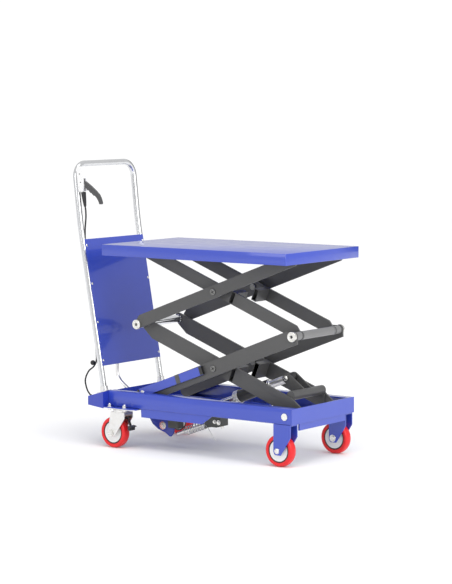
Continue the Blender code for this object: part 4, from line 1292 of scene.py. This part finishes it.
    def release(self) -> None:
        """Dress the housing and lever, and add the rivets."""
        Bench.softened("lever_housing", [HOUSING], 0.0022, segments=3)
        Bench.softened("release_lever", [LEVER], 0.0016, segments=3)
        work = bmesh.new()
        start, end = low("lever_housing"), high("lever_housing")
        pin = self.at(self.lever_pin)
        for y, sign in ((start.y, -1.0), (end.y, 1.0)):
            head = [(0.0, 0.0004), (0.0026, 0.0004), (0.0042, 0.0), (0.0042, -0.0006)]
            Bench.lathe(work, head, (pin.x, y - sign * 0.0004, pin.z),
                        Vector((0.0, sign, 0.0)), 24, [0, 0, 0])
            Bench.lathe(work, head, (pin.x - 0.006, y - sign * 0.0004, pin.z + 0.034),
                        Vector((0.0, sign, 0.0)), 20, [1, 1, 1])
        Bench.fit("lever_rivets", work, "base", [ZINC, BLACK])

    def cable_run(self) -> None:
        """Sweep the cable and add its boot, clip and grommet."""
        knots = [(self.origin + x, y, z) for x, y, z in self.cable]
        path = smooth_path(knots, 12)
        work = bmesh.new()
        Bench.sweep(work, path, self.cable_radius, 14)
        Bench.fit("release_cable_sleeve", work, "base", [RUBBER], ("release_cable",),
                  smooth=60.0)
        work = bmesh.new()
        down = (path[12] - path[0]).normalized()
        boot = [(0.0, 0.0), (0.0098, 0.0), (0.0104, 0.003), (0.0098, 0.008),
                (0.0090, 0.020), (0.0078, 0.036), (0.0064, 0.050), (0.0056, 0.057),
                (0.0046, 0.060), (0.0, 0.060)]
        Bench.lathe(work, boot, path[0] + down * 0.0012, down, 28)
        clip = Vector(knots[7])
        near = (Vector(knots[8]) - Vector(knots[6])).normalized()
        ball = [(0.0, -self.ball)] + [
            (self.ball * math.cos(math.radians(a)), self.ball * math.sin(math.radians(a)))
            for a in range(-75, 76, 15)] + [(0.0, self.ball)]
        Bench.lathe(work, ball, clip + Vector((-0.003, -0.004, 0.014)), near, 24)
        tail = path[-1]
        out = (path[-2] - path[-1]).normalized()
        cuff = [(0.0, -0.001), (0.0080, -0.001), (0.0084, 0.002), (0.0062, 0.006),
                (0.0044, 0.014), (0.0040, 0.016), (0.0, 0.016)]
        Bench.lathe(work, cuff, tail + out * 0.003, out, 24)
        Bench.fit("cable_boot_and_clip", work, "base", [RUBBER])


@dataclass
class FootPump:
    """Foot pump under the base, with its pedal.

    Attributes:
        coils: Turns of the return spring.
        wire: Radius of the spring's wire.
        spring_radius: Radius of the spring's middle line.
        line: Distance of the pump's axis from the middle plane.
        rise: Slope of the plunger, as height over length.
        plunger: Radius of the plunger.
        plunger_foot: Length of the plunger below the spring.
        ribs: Number of ribs on the pedal's tread.
    """

    coils: int = 7
    wire: float = 0.0022
    spring_radius: float = 0.0164
    line: float = 0.090
    rise: tuple[float, float] = (0.043, 0.117)
    plunger: float = 0.0076
    plunger_foot: float = 0.045
    ribs: int = 9

    def build(self) -> None:
        """Build the pump."""
        start = low("pump_mount")

        def clevis(spot: Vector) -> bool:
            """Say whether a point is on the grey clevis under the channel."""
            return (spot.z < 0.1325 and spot.x > start.x + 0.1035
                    and abs(spot.y + self.line) > 0.0100)

        Bench.softened("pump_mount", [BLUE_SHADE, CASTING], 0.0008, clevis)
        self.casting()
        self.spring_and_plunger()
        self.pedal()

    def casting(self) -> None:
        """Dress the casting and the reservoir and add their fittings."""
        body, tank = "pump_body", "pump_reservoir"
        Bench.softened(body, [CASTING], 0.0020, segments=3)
        Bench.softened(tank, [BLACK], 0.0030, segments=3)
        start, end = low(body), high(body)
        work = bmesh.new()
        y = (start.y + end.y) / 2
        for x, z, size in ((end.x - 0.010, start.z + 0.028, 0.011),
                           (end.x - 0.030, start.z + 0.030, 0.009)):
            Bench.hex_head(work, (x, start.y, z), (0.0, -1.0, 0.0), size, 0.006)
        Bench.hex_head(work, (end.x - 0.012, y, start.z + 0.0130), (0.25, 0.0, -1.0),
                       0.013, 0.010)
        Bench.hex_head(work, (start.x + 0.030, y + 0.008, end.z), (0.0, 0.0, 1.0),
                       0.014, 0.008)
        hub = (low("pump_mount").x + 0.068, y - 0.0042, low("pump_mount").z + 0.042)
        Bench.hex_head(work, hub, (0.0, -1.0, 0.0), 0.019, 0.008)
        Bench.fit("pump_plugs", work, "base", [FASTENER])
        work = bmesh.new()
        Bench.lathe(work, [(0.0, 0.013), (0.006, 0.013), (0.0082, 0.011),
                           (0.0086, 0.004), (0.0100, 0.003), (0.0100, 0.0), (0.0, 0.0)],
                    (start.x + 0.012, y + 0.004, end.z), Axis.Z, 32)
        Bench.fit("oil_filler_cap", work, "base", [CAP_RED])
        work = bmesh.new()
        first = Vector((start.x + 0.006, start.y - 0.003, start.z + 0.013))
        wire = smooth_path([first, first + Vector((0.016, -0.003, -0.010)),
                            first + Vector((0.034, -0.002, -0.034)),
                            first + Vector((0.050, 0.001, -0.060))], 8)
        Bench.sweep(work, wire, 0.0011, 10)
        Bench.fit("relief_wire", work, "base", [SPRING])

    def spring_and_plunger(self) -> None:
        """Wind the return spring and turn the plunger."""
        node = "pump_plunger"
        start, end = low(node), high(node)
        y = middle(node).y
        box = low("pump_spring"), high("pump_spring")
        slope = math.atan2(*self.rise)
        way = Vector((math.cos(slope), 0.0, math.sin(slope)))
        across = Vector((-way.z, 0.0, way.x))
        tip = Vector((start.x + 0.008 * abs(way.z), y, start.z + 0.008 * abs(way.x)))
        head = Vector((end.x - 0.008 * abs(way.z), y, end.z - 0.008 * abs(way.x)))
        length = (head - tip).length
        foot, thick = self.plunger_foot, self.plunger
        work = bmesh.new()
        Bench.lathe(work, [(0.0, 0.0), (0.0062, 0.0), (thick, 0.0018),
                           (thick, foot - 0.009), (0.0118, foot - 0.0080),
                           (0.0120, foot - 0.0024), (thick, foot - 0.0018),
                           (thick, length), (0.0, length)], tip, way, 32)
        Bench.fit("pump_plunger_turned", work, body_of(node), [ZINC], (node,))
        first = tip + way * (foot + 0.001)
        run = (box[1].x - box[0].x - 2 * 0.0185 * way.z) / way.x - 0.002
        steps = 28
        spots = []
        for index in range(self.coils * steps + 1):
            angle = 2 * math.pi * index / steps
            centre = first + way * (run * index / (self.coils * steps))
            spots.append(centre + Vector((0.0, 1.0, 0.0))
                         * (self.spring_radius * math.cos(angle))
                         + across * (self.spring_radius * math.sin(angle)))
        work = bmesh.new()
        Bench.sweep(work, spots, self.wire, 12)
        Bench.fit("pump_return_spring", work, "base", [SPRING], ("pump_spring",),
                  smooth=60.0)

    def pedal(self) -> None:
        """Dress the pedal lever and add its ribbed rubber tread."""
        node = "pump_pedal_lever"
        Bench.softened(node, [ZINC], 0.0006)
        start, end = low(node), high(node)
        top = end.z
        x0 = start.x
        work = bmesh.new()
        for index in range(self.ribs):
            y = 0.041 * (2 * index / (self.ribs - 1) - 1)
            Bench.plate(work, Bench.box_outline((x0 - 0.0004, x0 + 0.0224),
                                                (y - 0.0034, y + 0.0034)),
                        Axis.Z, top - 0.0142, top + 0.0022, 0, 0.0009)
        Bench.plate(work, Bench.box_outline((x0 + 0.0004, x0 + 0.0216),
                                            (-0.0446, 0.0446)),
                    Axis.Z, top - 0.0150, top + 0.0006, 0, 0.0012)
        Bench.fit("pedal_rubber_tread", work, body_of(node), [RUBBER])


@dataclass
class RollingGear:
    """Fixed front wheels and braked swivel casters.

    Attributes:
        tread_in: Radius where the tread meets the dark ring.
        ring_in: Radius where the dark ring meets the hub disc.
        front_half: Half width of a front wheel's tread.
        caster_half: Half width of a caster's tread.
        nut_across: Width across the flats of the axle nuts.
        swivel_back: Distance of the swivel's axis from the fork's front end.
    """

    tread_in: float = 0.0474
    ring_in: float = 0.0418
    front_half: float = 0.0180
    caster_half: float = 0.0190
    nut_across: float = 0.0165
    swivel_back: float = 0.036

    def build(self) -> None:
        """Build all four corners."""
        for side in Side:
            self.wheel("front_wheel_" + side.word, self.front_half)
            self.wheel("caster_wheel_" + side.word, self.caster_half)
            self.caster(side)

    def wheel(self, node: str, tread_half: float) -> None:
        """Turn one wheel.

        Args:
            node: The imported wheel.
            tread_half: Half width of the tread.
        """
        centre = middle(node)
        radius = (high(node).z - low(node).z) / 2
        boss = (high(node).y - low(node).y) / 2
        crown = tread_half - 0.0095
        half: Profile = [(0.0084, boss), (0.0125, boss), (0.0128, boss - 0.0008),
                         (0.0150, boss - 0.0010), (0.0172, boss - 0.0012),
                         (0.0188, tread_half - 0.0040), (0.0230, tread_half - 0.0056),
                         (0.0360, tread_half - 0.0056), (0.0398, tread_half - 0.0036),
                         (self.ring_in, tread_half - 0.0030),
                         (self.ring_in + 0.0004, tread_half - 0.0048),
                         (self.tread_in - 0.0004, tread_half - 0.0036),
                         (self.tread_in, tread_half - 0.0016),
                         (0.0510, tread_half - 0.0003), (0.0555, tread_half)]
        tones = [2, 2, 1, 1, 3, 3, 3, 3, 3, 1, 1, 0, 0, 0]
        rounded: Profile = []
        for index in range(1, 8):
            angle = math.pi / 2 * index / 8
            rounded.append((0.0555 + (radius - 0.0012 - 0.0555) * math.sin(angle),
                            crown + (tread_half - crown) * math.cos(angle)))
        for index in range(5):
            station = crown * (1 - index / 4)
            rounded.append((radius - 0.0012 * (station / crown) ** 2, station))
        half += rounded
        tones += [0] * len(rounded)
        whole = half + [(r, -s) for r, s in reversed(half[:-1])]
        spans = tones + list(reversed(tones)) + [2]
        spans = spans[:len(whole) - 1] + [2]
        work = bmesh.new()
        Bench.lathe(work, whole, centre, Axis.Y, 96, spans, closed=True)
        Bench.fit(node + "_turned", work, body_of(node), [RED, RUBBER, FASTENER, HUB],
                  (node,), smooth=42.0)

    def caster(self, side: Side) -> None:
        """Dress one caster and its brake pedal, and add its bearing race and axle nuts.

        Args:
            side: Side of the table.
        """
        node = "caster_fork_" + side.word
        body = body_of(node)
        Bench.softened(node, [ZINC], 0.0009)
        hub = middle("caster_wheel_" + side.word)
        start, end = low(node), high(node)
        work = bmesh.new()
        for sign in (-1.0, 1.0):
            face = end.y if sign > 0 else start.y
            Bench.hex_head(work, (hub.x, face - sign * 0.0056, hub.z),
                           (0.0, sign, 0.0), self.nut_across, 0.0044)
        Bench.fit("caster_axle_nuts_" + side.word, work, body, [FASTENER])
        swivel = end.x - self.swivel_back
        work = bmesh.new()
        top = end.z
        Bench.lathe(work, [(0.0300, 0.0), (0.0338, -0.0020), (0.0346, -0.0040),
                           (0.0338, -0.0060), (0.0318, -0.0068), (0.0318, -0.0080),
                           (0.0334, -0.0088), (0.0334, -0.0106), (0.0300, -0.0118)],
                    (swivel, middle(node).y, top), Axis.Z, 56,
                    [0, 0, 0, 0, 1, 0, 0, 0])
        Bench.fit("caster_race_" + side.word, work, body, [ZINC, BLACK])
        Bench.softened("brake_pedal_" + side.word, [BLACK], 0.0008)


@dataclass
class ScissorStages:
    """Both stages of crossing arms with their shafts and pins.

    Attributes:
        rounding: Width of the arms' rounded edges.
        disc: Radius of the discs on the joint shafts.
        shaft: Radius of the shafts in the arms.
        tube: Radius of the cross tubes between the arms.
        spacer: Where the spacer between an inner and an outer arm starts and ends.
        lift_pin: Half length of the lift pin.
    """

    rounding: float = 0.0012
    disc: float = 0.0196
    shaft: float = 0.0125
    tube: float = 0.0165
    spacer: tuple[float, float] = (0.1168, 0.1520)
    lift_pin: float = 0.0330

    def build(self) -> None:
        """Build the linkage."""
        for stage in ("lower", "upper"):
            for place in ("inner", "outer"):
                for side in Side:
                    self.arm(stage + "_" + place + "_arm_" + side.word)
            for side in Side:
                self.centre_pin(stage + "_centre_pin_" + side.word, side)
        Bench.softened("lower_inner_lift_yoke", [ARM_GREY], 0.0014)
        self.yoke_bolts()
        self.joint_shaft("rear_joint_shaft", CHROME)
        self.joint_shaft("front_joint_shaft", TUBE_GREY)
        self.rollers()

    def yoke_bolts(self) -> None:
        """Add the bright heads of the lift pin to the yoke's lugs."""
        node = "lower_inner_lift_yoke"
        pin = lift_pin_spot()
        work = bmesh.new()
        for side in Side:
            Bench.lathe(work, [(0.0, 0.0026), (0.0080, 0.0026), (0.0098, 0.0014),
                               (0.0100, 0.0), (0.0, 0.0)],
                        (pin.x, side.sign * self.lift_pin, pin.z),
                        Vector((0.0, side.sign, 0.0)), 32)
        Bench.fit("lift_pin_heads", work, body_of(node), [FASTENER])

    def arm(self, node: str) -> None:
        """Dress one arm.

        Args:
            node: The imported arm.
        """
        face = outer_face() if "outer" in node else inner_face()

        def stub(spot: Vector) -> bool:
            """Say whether a point is on the roller's stub."""
            return abs(spot.y) > face + 0.0006

        Bench.softened(node, [ARM_GREY, ZINC], self.rounding, stub)

    def joint_shaft(self, node: str, finish: Finish) -> None:
        """Turn a joint shaft with a socket-head disc at each end.

        Args:
            node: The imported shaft.
            finish: Finish of the cross tube.
        """
        centre = middle(node)
        half = high(node).y
        outer = outer_face() + SEAT_GAP
        arm_in = inner_face() - ARM_DEPTH
        edge = half - 0.0016
        side = [(self.disc, edge), (self.disc, outer), (self.shaft - 0.0001, outer),
                (self.shaft - 0.0001, self.spacer[1]), (self.tube, self.spacer[1]),
                (self.tube, self.spacer[0]), (self.shaft - 0.0001, self.spacer[0]),
                (self.shaft - 0.0001, arm_in), (self.tube + 0.0010, arm_in),
                (self.tube + 0.0010, arm_in - 0.0050), (self.tube, arm_in - 0.0056)]
        tones = [1, 1, 1, 0, 0, 0, 1, 0, 0, 0, 0]
        profile = side + [(radius, -station) for radius, station in reversed(side)]
        work = bmesh.new()
        Bench.lathe(work, profile, centre, Axis.Y, 56,
                    tones + list(reversed(tones[:-1])))
        for end in Side:
            # Material 2, the black finish, is each socket's floor: painted shade.
            Bench.socket_face(work, (centre.x, end.sign * edge, centre.z),
                              (0.0, end.sign, 0.0), self.disc, half - edge, 1, 2)
        Bench.fit(node + "_turned", work, body_of(node), [finish, FASTENER, BLACK],
                  (node,))

    def centre_pin(self, node: str, side: Side) -> None:
        """Turn a centre pin with a screw slot in its head.

        Args:
            node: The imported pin.
            side: Side of the table.
        """
        start, end = low(node), high(node)
        centre = middle(node)
        out = max(abs(start.y), abs(end.y))
        back = min(abs(start.y), abs(end.y))
        seat = outer_face() + SEAT_GAP
        arm_in = inner_face() - ARM_DEPTH
        profile: Profile = [(0.0, out - 0.0014), (0.0100, out - 0.0014),
                            (0.0104, out - 0.0002), (0.0118, out),
                            (0.0125, out - 0.0008), (0.0125, seat),
                            (0.0089, seat), (0.0089, arm_in), (0.0128, arm_in),
                            (0.0130, 0.1070), (0.0130, back + 0.0008),
                            (0.0122, back), (0.0, back)]
        profile = [(radius, station * side.sign) for radius, station in profile]
        work = bmesh.new()
        Bench.lathe(work, profile, (centre.x, 0.0, centre.z), Axis.Y, 36)
        y = sorted((side.sign * (out - 0.0013), side.sign * (out - 0.0004)))
        for angle in (0.6, 0.6 + math.pi / 2):
            run = Vector((math.cos(angle), math.sin(angle))) * 0.0072
            wide = Vector((-run.y, run.x)).normalized() * 0.0014
            mid = Vector((centre.x, centre.z))
            outline = [mid + run + wide, mid - run + wide, mid - run - wide,
                       mid + run - wide]
            Bench.plate(work, [tuple(p) for p in outline], Axis.Y, y[0], y[1], 1)
        Bench.fit(node + "_turned", work, body_of(node), [PIN_DARK, BLACK], (node,))

    def rollers(self) -> None:
        """Turn the track rollers with their bearing faces."""
        for stem, bore in (("base_roller_", 0.0083), ("table_roller_", 0.0073)):
            for side in Side:
                node = stem + side.word
                centre = middle(node)
                radius = (high(node).z - low(node).z) / 2
                half = (high(node).y - low(node).y) / 2
                face: Profile = [(bore, half), (bore + 0.0030, half),
                                 (bore + 0.0034, half - 0.0008),
                                 (radius * 0.62, half - 0.0008),
                                 (radius * 0.66, half - 0.0001),
                                 (radius - 0.0015, half), (radius, half - 0.0016)]
                whole = face + [(r, -s) for r, s in reversed(face)]
                tones = [1, 1, 0, 0, 0, 0]
                work = bmesh.new()
                Bench.lathe(work, whole, centre, Axis.Y, 48,
                            tones + [0] + list(reversed(tones)) + [1], closed=True)
                Bench.fit(node + "_turned", work, body_of(node), [NYLON, FASTENER],
                          (node,))


@dataclass
class TableTop:
    """Deck tray with its roller rails and hinge pins.

    Attributes:
        fold: Width of the deck's rounded folds.
        pin_head: Radius of a hinge pin's head.
        pin_shank: Radius of a hinge pin in its arm.
    """

    fold: float = 0.0016
    pin_head: float = 0.0140
    pin_shank: float = 0.0079

    def build(self) -> None:
        """Build the deck."""
        top = high("table_deck").z - 0.0008

        def walked_on(spot: Vector) -> bool:
            """Say whether a point is on the deck's upper face."""
            return spot.z > top

        Bench.softened("table_deck", [BLUE, BLUE_TOP], self.fold, walked_on, 3)
        for side in Side:
            Bench.softened("table_rail_" + side.word, [BLUE], 0.0006)
            self.hinge_pin(side)

    def hinge_pin(self, side: Side) -> None:
        """Turn a hinge pin with a hexagon socket in its head.

        Args:
            side: Side of the table.
        """
        node = "table_hinge_pin_" + side.word
        start, end = low(node), high(node)
        centre = middle(node)
        out = max(abs(start.y), abs(end.y))
        back = min(abs(start.y), abs(end.y))
        edge = out - 0.0012
        seat = outer_face() + SEAT_GAP
        inside = outer_face() - ARM_DEPTH
        head, shank = self.pin_head, self.pin_shank
        profile = [(head, edge), (head, seat), (shank, seat), (shank, inside),
                   (head, inside), (head, back), (0.0, back)]
        profile = [(radius, station * side.sign) for radius, station in profile]
        work = bmesh.new()
        Bench.lathe(work, profile, (centre.x, 0.0, centre.z), Axis.Y, 36)
        # The socket's floor takes the black finish as painted shade.
        Bench.socket_face(work, (centre.x, side.sign * edge, centre.z),
                          (0.0, side.sign, 0.0), head, out - edge)
        Bench.fit(node + "_turned", work, body_of(node), [FASTENER, BLACK], (node,))


@dataclass
class LiftCylinder:
    """Lift cylinder between the pump mount and the yoke.

    Attributes:
        barrel: Radius of the barrel.
        rod: Radius of the rod.
        neck: How far from the yoke pin the bright neck of the barrel ends.
        foot_eye: Radius of the rod's foot round its cross pin.
    """

    barrel: float = 0.025
    neck: float = 0.098
    foot_eye: float = 0.0165
    rod: float = 0.014

    def build(self) -> None:
        """Build the barrel and the rod."""
        corner = low("cylinder_rod")
        foot = Vector((corner.x + self.foot_eye, 0.0, corner.z + self.foot_eye))
        pin = lift_pin_spot()
        way = (foot - pin).normalized()
        work = bmesh.new()
        r = self.barrel
        profile: Profile = [(0.0, 0.0200), (0.0120, 0.0170), (0.0148, 0.0200),
                            (0.0148, 0.0222), (0.0160, 0.0236), (0.0160, self.neck),
                            (0.0215, self.neck + 0.0010), (0.0215, self.neck + 0.0080),
                            (r - 0.0020, self.neck + 0.0082), (r, self.neck + 0.0104),
                            (r, 0.2600), (0.0262, 0.2615), (0.0274, 0.2630),
                            (0.0274, 0.2700), (0.0262, 0.2710), (0.0262, 0.2722),
                            (0.0274, 0.2732), (0.0274, 0.2840), (0.0262, 0.2852),
                            (0.0190, 0.2853), (0.0180, 0.2838), (0.0146, 0.2838),
                            (0.0146, 0.2700)]
        tones = [2] * 5 + [3] + [2] * 2 + [0] * 3 + [2] * 8 + [1, 1, 1]
        Bench.lathe(work, profile, pin, way, 56, tones)
        eye: Profile = [(0.0103, 0.0194), (0.0180, 0.0194), (EYE_RADIUS, 0.0184),
                        (EYE_RADIUS, -0.0184), (0.0180, -0.0194), (0.0103, -0.0194)]
        Bench.lathe(work, eye, pin, Axis.Y, 48, None, closed=True)
        Bench.fit("cylinder_barrel_turned", work, body_of("cylinder_barrel"),
                  [BLACK, RUBBER, ZINC, CHROME], ("cylinder_barrel",))
        work = bmesh.new()
        back = -way
        Bench.lathe(work, [(0.0, 0.0), (self.rod, 0.0), (self.rod, 0.2005),
                           (self.rod - 0.0012, 0.2019), (0.0, 0.2019)],
                    foot, back, 48)
        pin_face: Profile = [(0.0, 0.0400), (0.0062, 0.0400), (0.0070, 0.0392),
                             (0.0070, 0.0172), (0.0155, 0.0170),
                             (self.foot_eye, 0.0160)]
        whole = pin_face + [(radius, -s) for radius, s in reversed(pin_face)]
        Bench.lathe(work, whole, foot, Axis.Y, 40, [1] * (len(whole) - 1))
        Bench.fit("cylinder_rod_turned", work, body_of("cylinder_rod"),
                  [CHROME, FASTENER], ("cylinder_rod",))


@dataclass
class PropBar:
    """Maintenance prop on the right lower outer arm.

    Attributes:
        tilt: Angle of the bar at rest, in degrees.
        half: Half width of the bar.
        clip_share: Where the retaining clip sits along the bar.
        cap_share: Where the black cap on the free end starts along the bar.
    """

    tilt: float = 20.3
    half: float = 0.0175
    clip_share: float = 0.61
    cap_share: float = 0.955

    def build(self) -> None:
        """Dress the bar and add its pivot head and its grey clip."""
        node = "prop_bar"
        start, end = low(node), high(node)
        way = Vector((math.cos(math.radians(self.tilt)), 0.0,
                      math.sin(math.radians(self.tilt))))
        across = Vector((-way.z, 0.0, way.x))
        foot = Vector((start.x + self.half * way.z, 0.0, start.z + self.half * way.x))
        length = (end.x - self.half * way.z - foot.x) / way.x
        pivot = foot + way * 0.012

        def at_end(spot: Vector) -> bool:
            """Say whether a point is on the end face of the bar."""
            return Vector((spot.x - foot.x, 0.0, spot.z - foot.z)).dot(way) > (
                length * self.cap_share)

        Bench.softened(node, [BLUE, BLACK], 0.0009, at_end)
        work = bmesh.new()
        corners = [foot + way * (length * a) + across * b
                   for a, b in ((self.cap_share, -0.0162), (1.0, -0.0162),
                                (1.0, 0.0162), (self.cap_share, 0.0162))]
        Bench.plate(work, [(p.x, p.z) for p in corners], Axis.Y, start.y - 0.0006,
                    start.y + 0.0060, 0, 0.0005)
        Bench.fit("prop_bar_end_cap", work, "prop", [BLACK])
        work = bmesh.new()
        centre = foot + way * (length * self.clip_share)
        corners = [centre + way * a + across * b
                   for a, b in ((-0.011, -0.0172), (0.011, -0.0172), (0.011, 0.0190),
                                (-0.011, 0.0190))]
        Bench.plate(work, [(p.x, p.z) for p in corners], Axis.Y, start.y - 0.0006,
                    start.y + 0.0100, 0, 0.0005)
        Bench.fit("prop_bar_clip", work, "prop", [ARM_GREY])
        work = bmesh.new()
        Bench.lathe(work, [(0.0, 0.0022), (0.0050, 0.0022), (0.0085, 0.0010),
                           (0.0090, 0.0), (0.0, 0.0)],
                    (pivot.x, start.y, pivot.z), Vector((0.0, -1.0, 0.0)), 28)
        Bench.fit("prop_pivot_head", work, "prop", [FASTENER])


# ---- studio ----------------------------------------------------------------------


@dataclass
class Studio:
    """Pale floor, soft light and the camera.

    Attributes:
        place: Camera position.
        yaw: Turn of the view from the side, in degrees.
        pitch: How far the view looks down, in degrees.
        roll: Roll of the view, in degrees.
        lens: Focal length in millimetres.
        sky: Strength of the light from all round.
        sun: Strength of the broad overhead light.
        flag: Direction in which a dark card takes the light away.
    """

    place: tuple[float, float, float] = (5.30626, -6.94095, 1.46278)
    yaw: float = 36.95
    pitch: float = 5.41
    roll: float = -0.19
    lens: float = 134.03
    sky: float = 0.78
    sun: float = 1.25
    flag: tuple[float, float, float] = (-0.05, 0.995, 0.05)

    def build(self) -> None:
        """Set the studio up."""
        bpy.context.scene.view_settings.view_transform = "Standard"
        self.floor()
        self.sky_light()
        self.lamps()
        self.camera()

    def floor(self) -> None:
        """Lay the floor sheet with a faint painted texture."""
        work = bmesh.new()
        bmesh.ops.create_grid(work, x_segments=24, y_segments=24, size=14.0)
        mesh = bpy.data.meshes.new("studio_floor")
        work.to_mesh(mesh)
        work.free()
        floor = bpy.data.objects.new("studio_floor", mesh)
        bpy.context.scene.collection.objects.link(floor)
        material = bpy.data.materials.new("pale_floor_paint")
        material.use_nodes = True
        wiring = Wiring(material.node_tree)
        shader = material.node_tree.nodes["Principled BSDF"]
        spot = wiring.node("TexCoord").outputs["Object"]
        tone = Finish.group(wiring, EFFECTS.cloudy_tone(), spot,
                            Colour=(0.93, 0.93, 0.935, 1.0), Scale=0.8, Depth=0.015)
        wiring.link(tone.outputs["Colour"], shader.inputs["Base Color"])
        shader.inputs["Roughness"].default_value = 0.8
        shader.inputs["Specular IOR Level"].default_value = 0.2
        mesh.materials.append(material)

    def sky_light(self) -> None:
        """Light the scene softly from all round, white where it is seen directly."""
        world = bpy.data.worlds.new("studio_sky")
        bpy.context.scene.world = world
        world.use_nodes = True
        wiring = Wiring(world.node_tree)
        world.node_tree.nodes.clear()
        seen = wiring.node("Background")
        seen.inputs["Color"].default_value = (1.0, 1.0, 1.0, 1.0)
        seen.inputs["Strength"].default_value = 1.05
        glow = wiring.node("Background")
        glow.inputs["Color"].default_value = (1.0, 1.0, 1.0, 1.0)
        facing = wiring.node("VectorMath", operation="DOT_PRODUCT")
        wiring.link(wiring.node("TexCoord").outputs["Generated"], facing.inputs[0])
        facing.inputs[1].default_value = self.flag
        flag = wiring.ramp(facing.outputs["Value"], 0.88, 0.96, 1.0, 0.10)
        wiring.link(wiring.math("MULTIPLY", flag, self.sky), glow.inputs["Strength"])
        mix = wiring.node("MixShader")
        path = wiring.node("LightPath")
        out = wiring.node("OutputWorld")
        wiring.link(path.outputs["Is Camera Ray"], mix.inputs[0])
        wiring.link(glow.outputs[0], mix.inputs[1])
        wiring.link(seen.outputs[0], mix.inputs[2])
        wiring.link(mix.outputs[0], out.inputs["Surface"])

    def lamps(self) -> None:
        """Hang the soft boxes."""
        aim = Vector((0.0, 0.0, 0.5))
        for name, spot, size, power in (
                ("front_softbox", (4.6, -0.6, 2.2), 2.6, 84.0),
                ("side_softbox", (-0.5, -5.0, 2.4), 2.4, 42.0)):
            light = bpy.data.lights.new(name, "AREA")
            light.shape = "SQUARE"
            light.size = size
            light.energy = power
            self.hang(light, Vector(spot), aim)
        broad = bpy.data.lights.new("overhead_light", "SUN")
        broad.energy = self.sun
        broad.angle = math.radians(50.0)
        self.hang(broad, Vector((1.6, -1.2, 5.0)), aim)

    def hang(self, light: bpy.types.Light, spot: Vector, aim: Vector) -> None:
        """Hang a light.

        Args:
            light: The light.
            spot: Where it hangs.
            aim: Point that it looks at.
        """
        lamp = bpy.data.objects.new(light.name, light)
        lamp.location = spot
        lamp.rotation_euler = (aim - spot).to_track_quat("-Z", "Y").to_euler()
        bpy.context.scene.collection.objects.link(lamp)

    def camera(self) -> None:
        """Stand the camera at the view."""
        yaw, pitch, roll = (math.radians(v) for v in (self.yaw, self.pitch, self.roll))
        back = Vector((math.sin(yaw) * math.cos(pitch), -math.cos(yaw)
                       * math.cos(pitch), math.sin(pitch)))
        ahead = -back
        right = ahead.cross(Vector((0.0, 0.0, 1.0))).normalized()
        up = right.cross(ahead)
        turned_right = right * math.cos(roll) + up * math.sin(roll)
        turned_up = -right * math.sin(roll) + up * math.cos(roll)
        data = bpy.data.cameras.new("studio_camera")
        data.lens = self.lens
        data.sensor_width = 36.0
        data.sensor_fit = "AUTO"
        data.clip_end = 60.0
        view = bpy.data.objects.new("studio_camera", data)
        view.matrix_world = Matrix((
            (turned_right.x, turned_up.x, back.x, self.place[0]),
            (turned_right.y, turned_up.y, back.y, self.place[1]),
            (turned_right.z, turned_up.z, back.z, self.place[2]),
            (0.0, 0.0, 0.0, 1.0)))
        bpy.context.scene.collection.objects.link(view)
        bpy.context.scene.camera = view


def main() -> None:
    """Build the studio and every sub-assembly, and report each."""
    logging.basicConfig(level=logging.INFO, format="%(message)s")
    for assembly in (Studio(), BaseFrame(), PushHandle(), FootPump(), RollingGear(),
                     ScissorStages(), TableTop(), LiftCylinder(), PropBar()):
        assembly.build()
        LOG.info("%s built", type(assembly).__name__)
    bpy.context.view_layer.update()


if __name__ == "__main__":
    main()
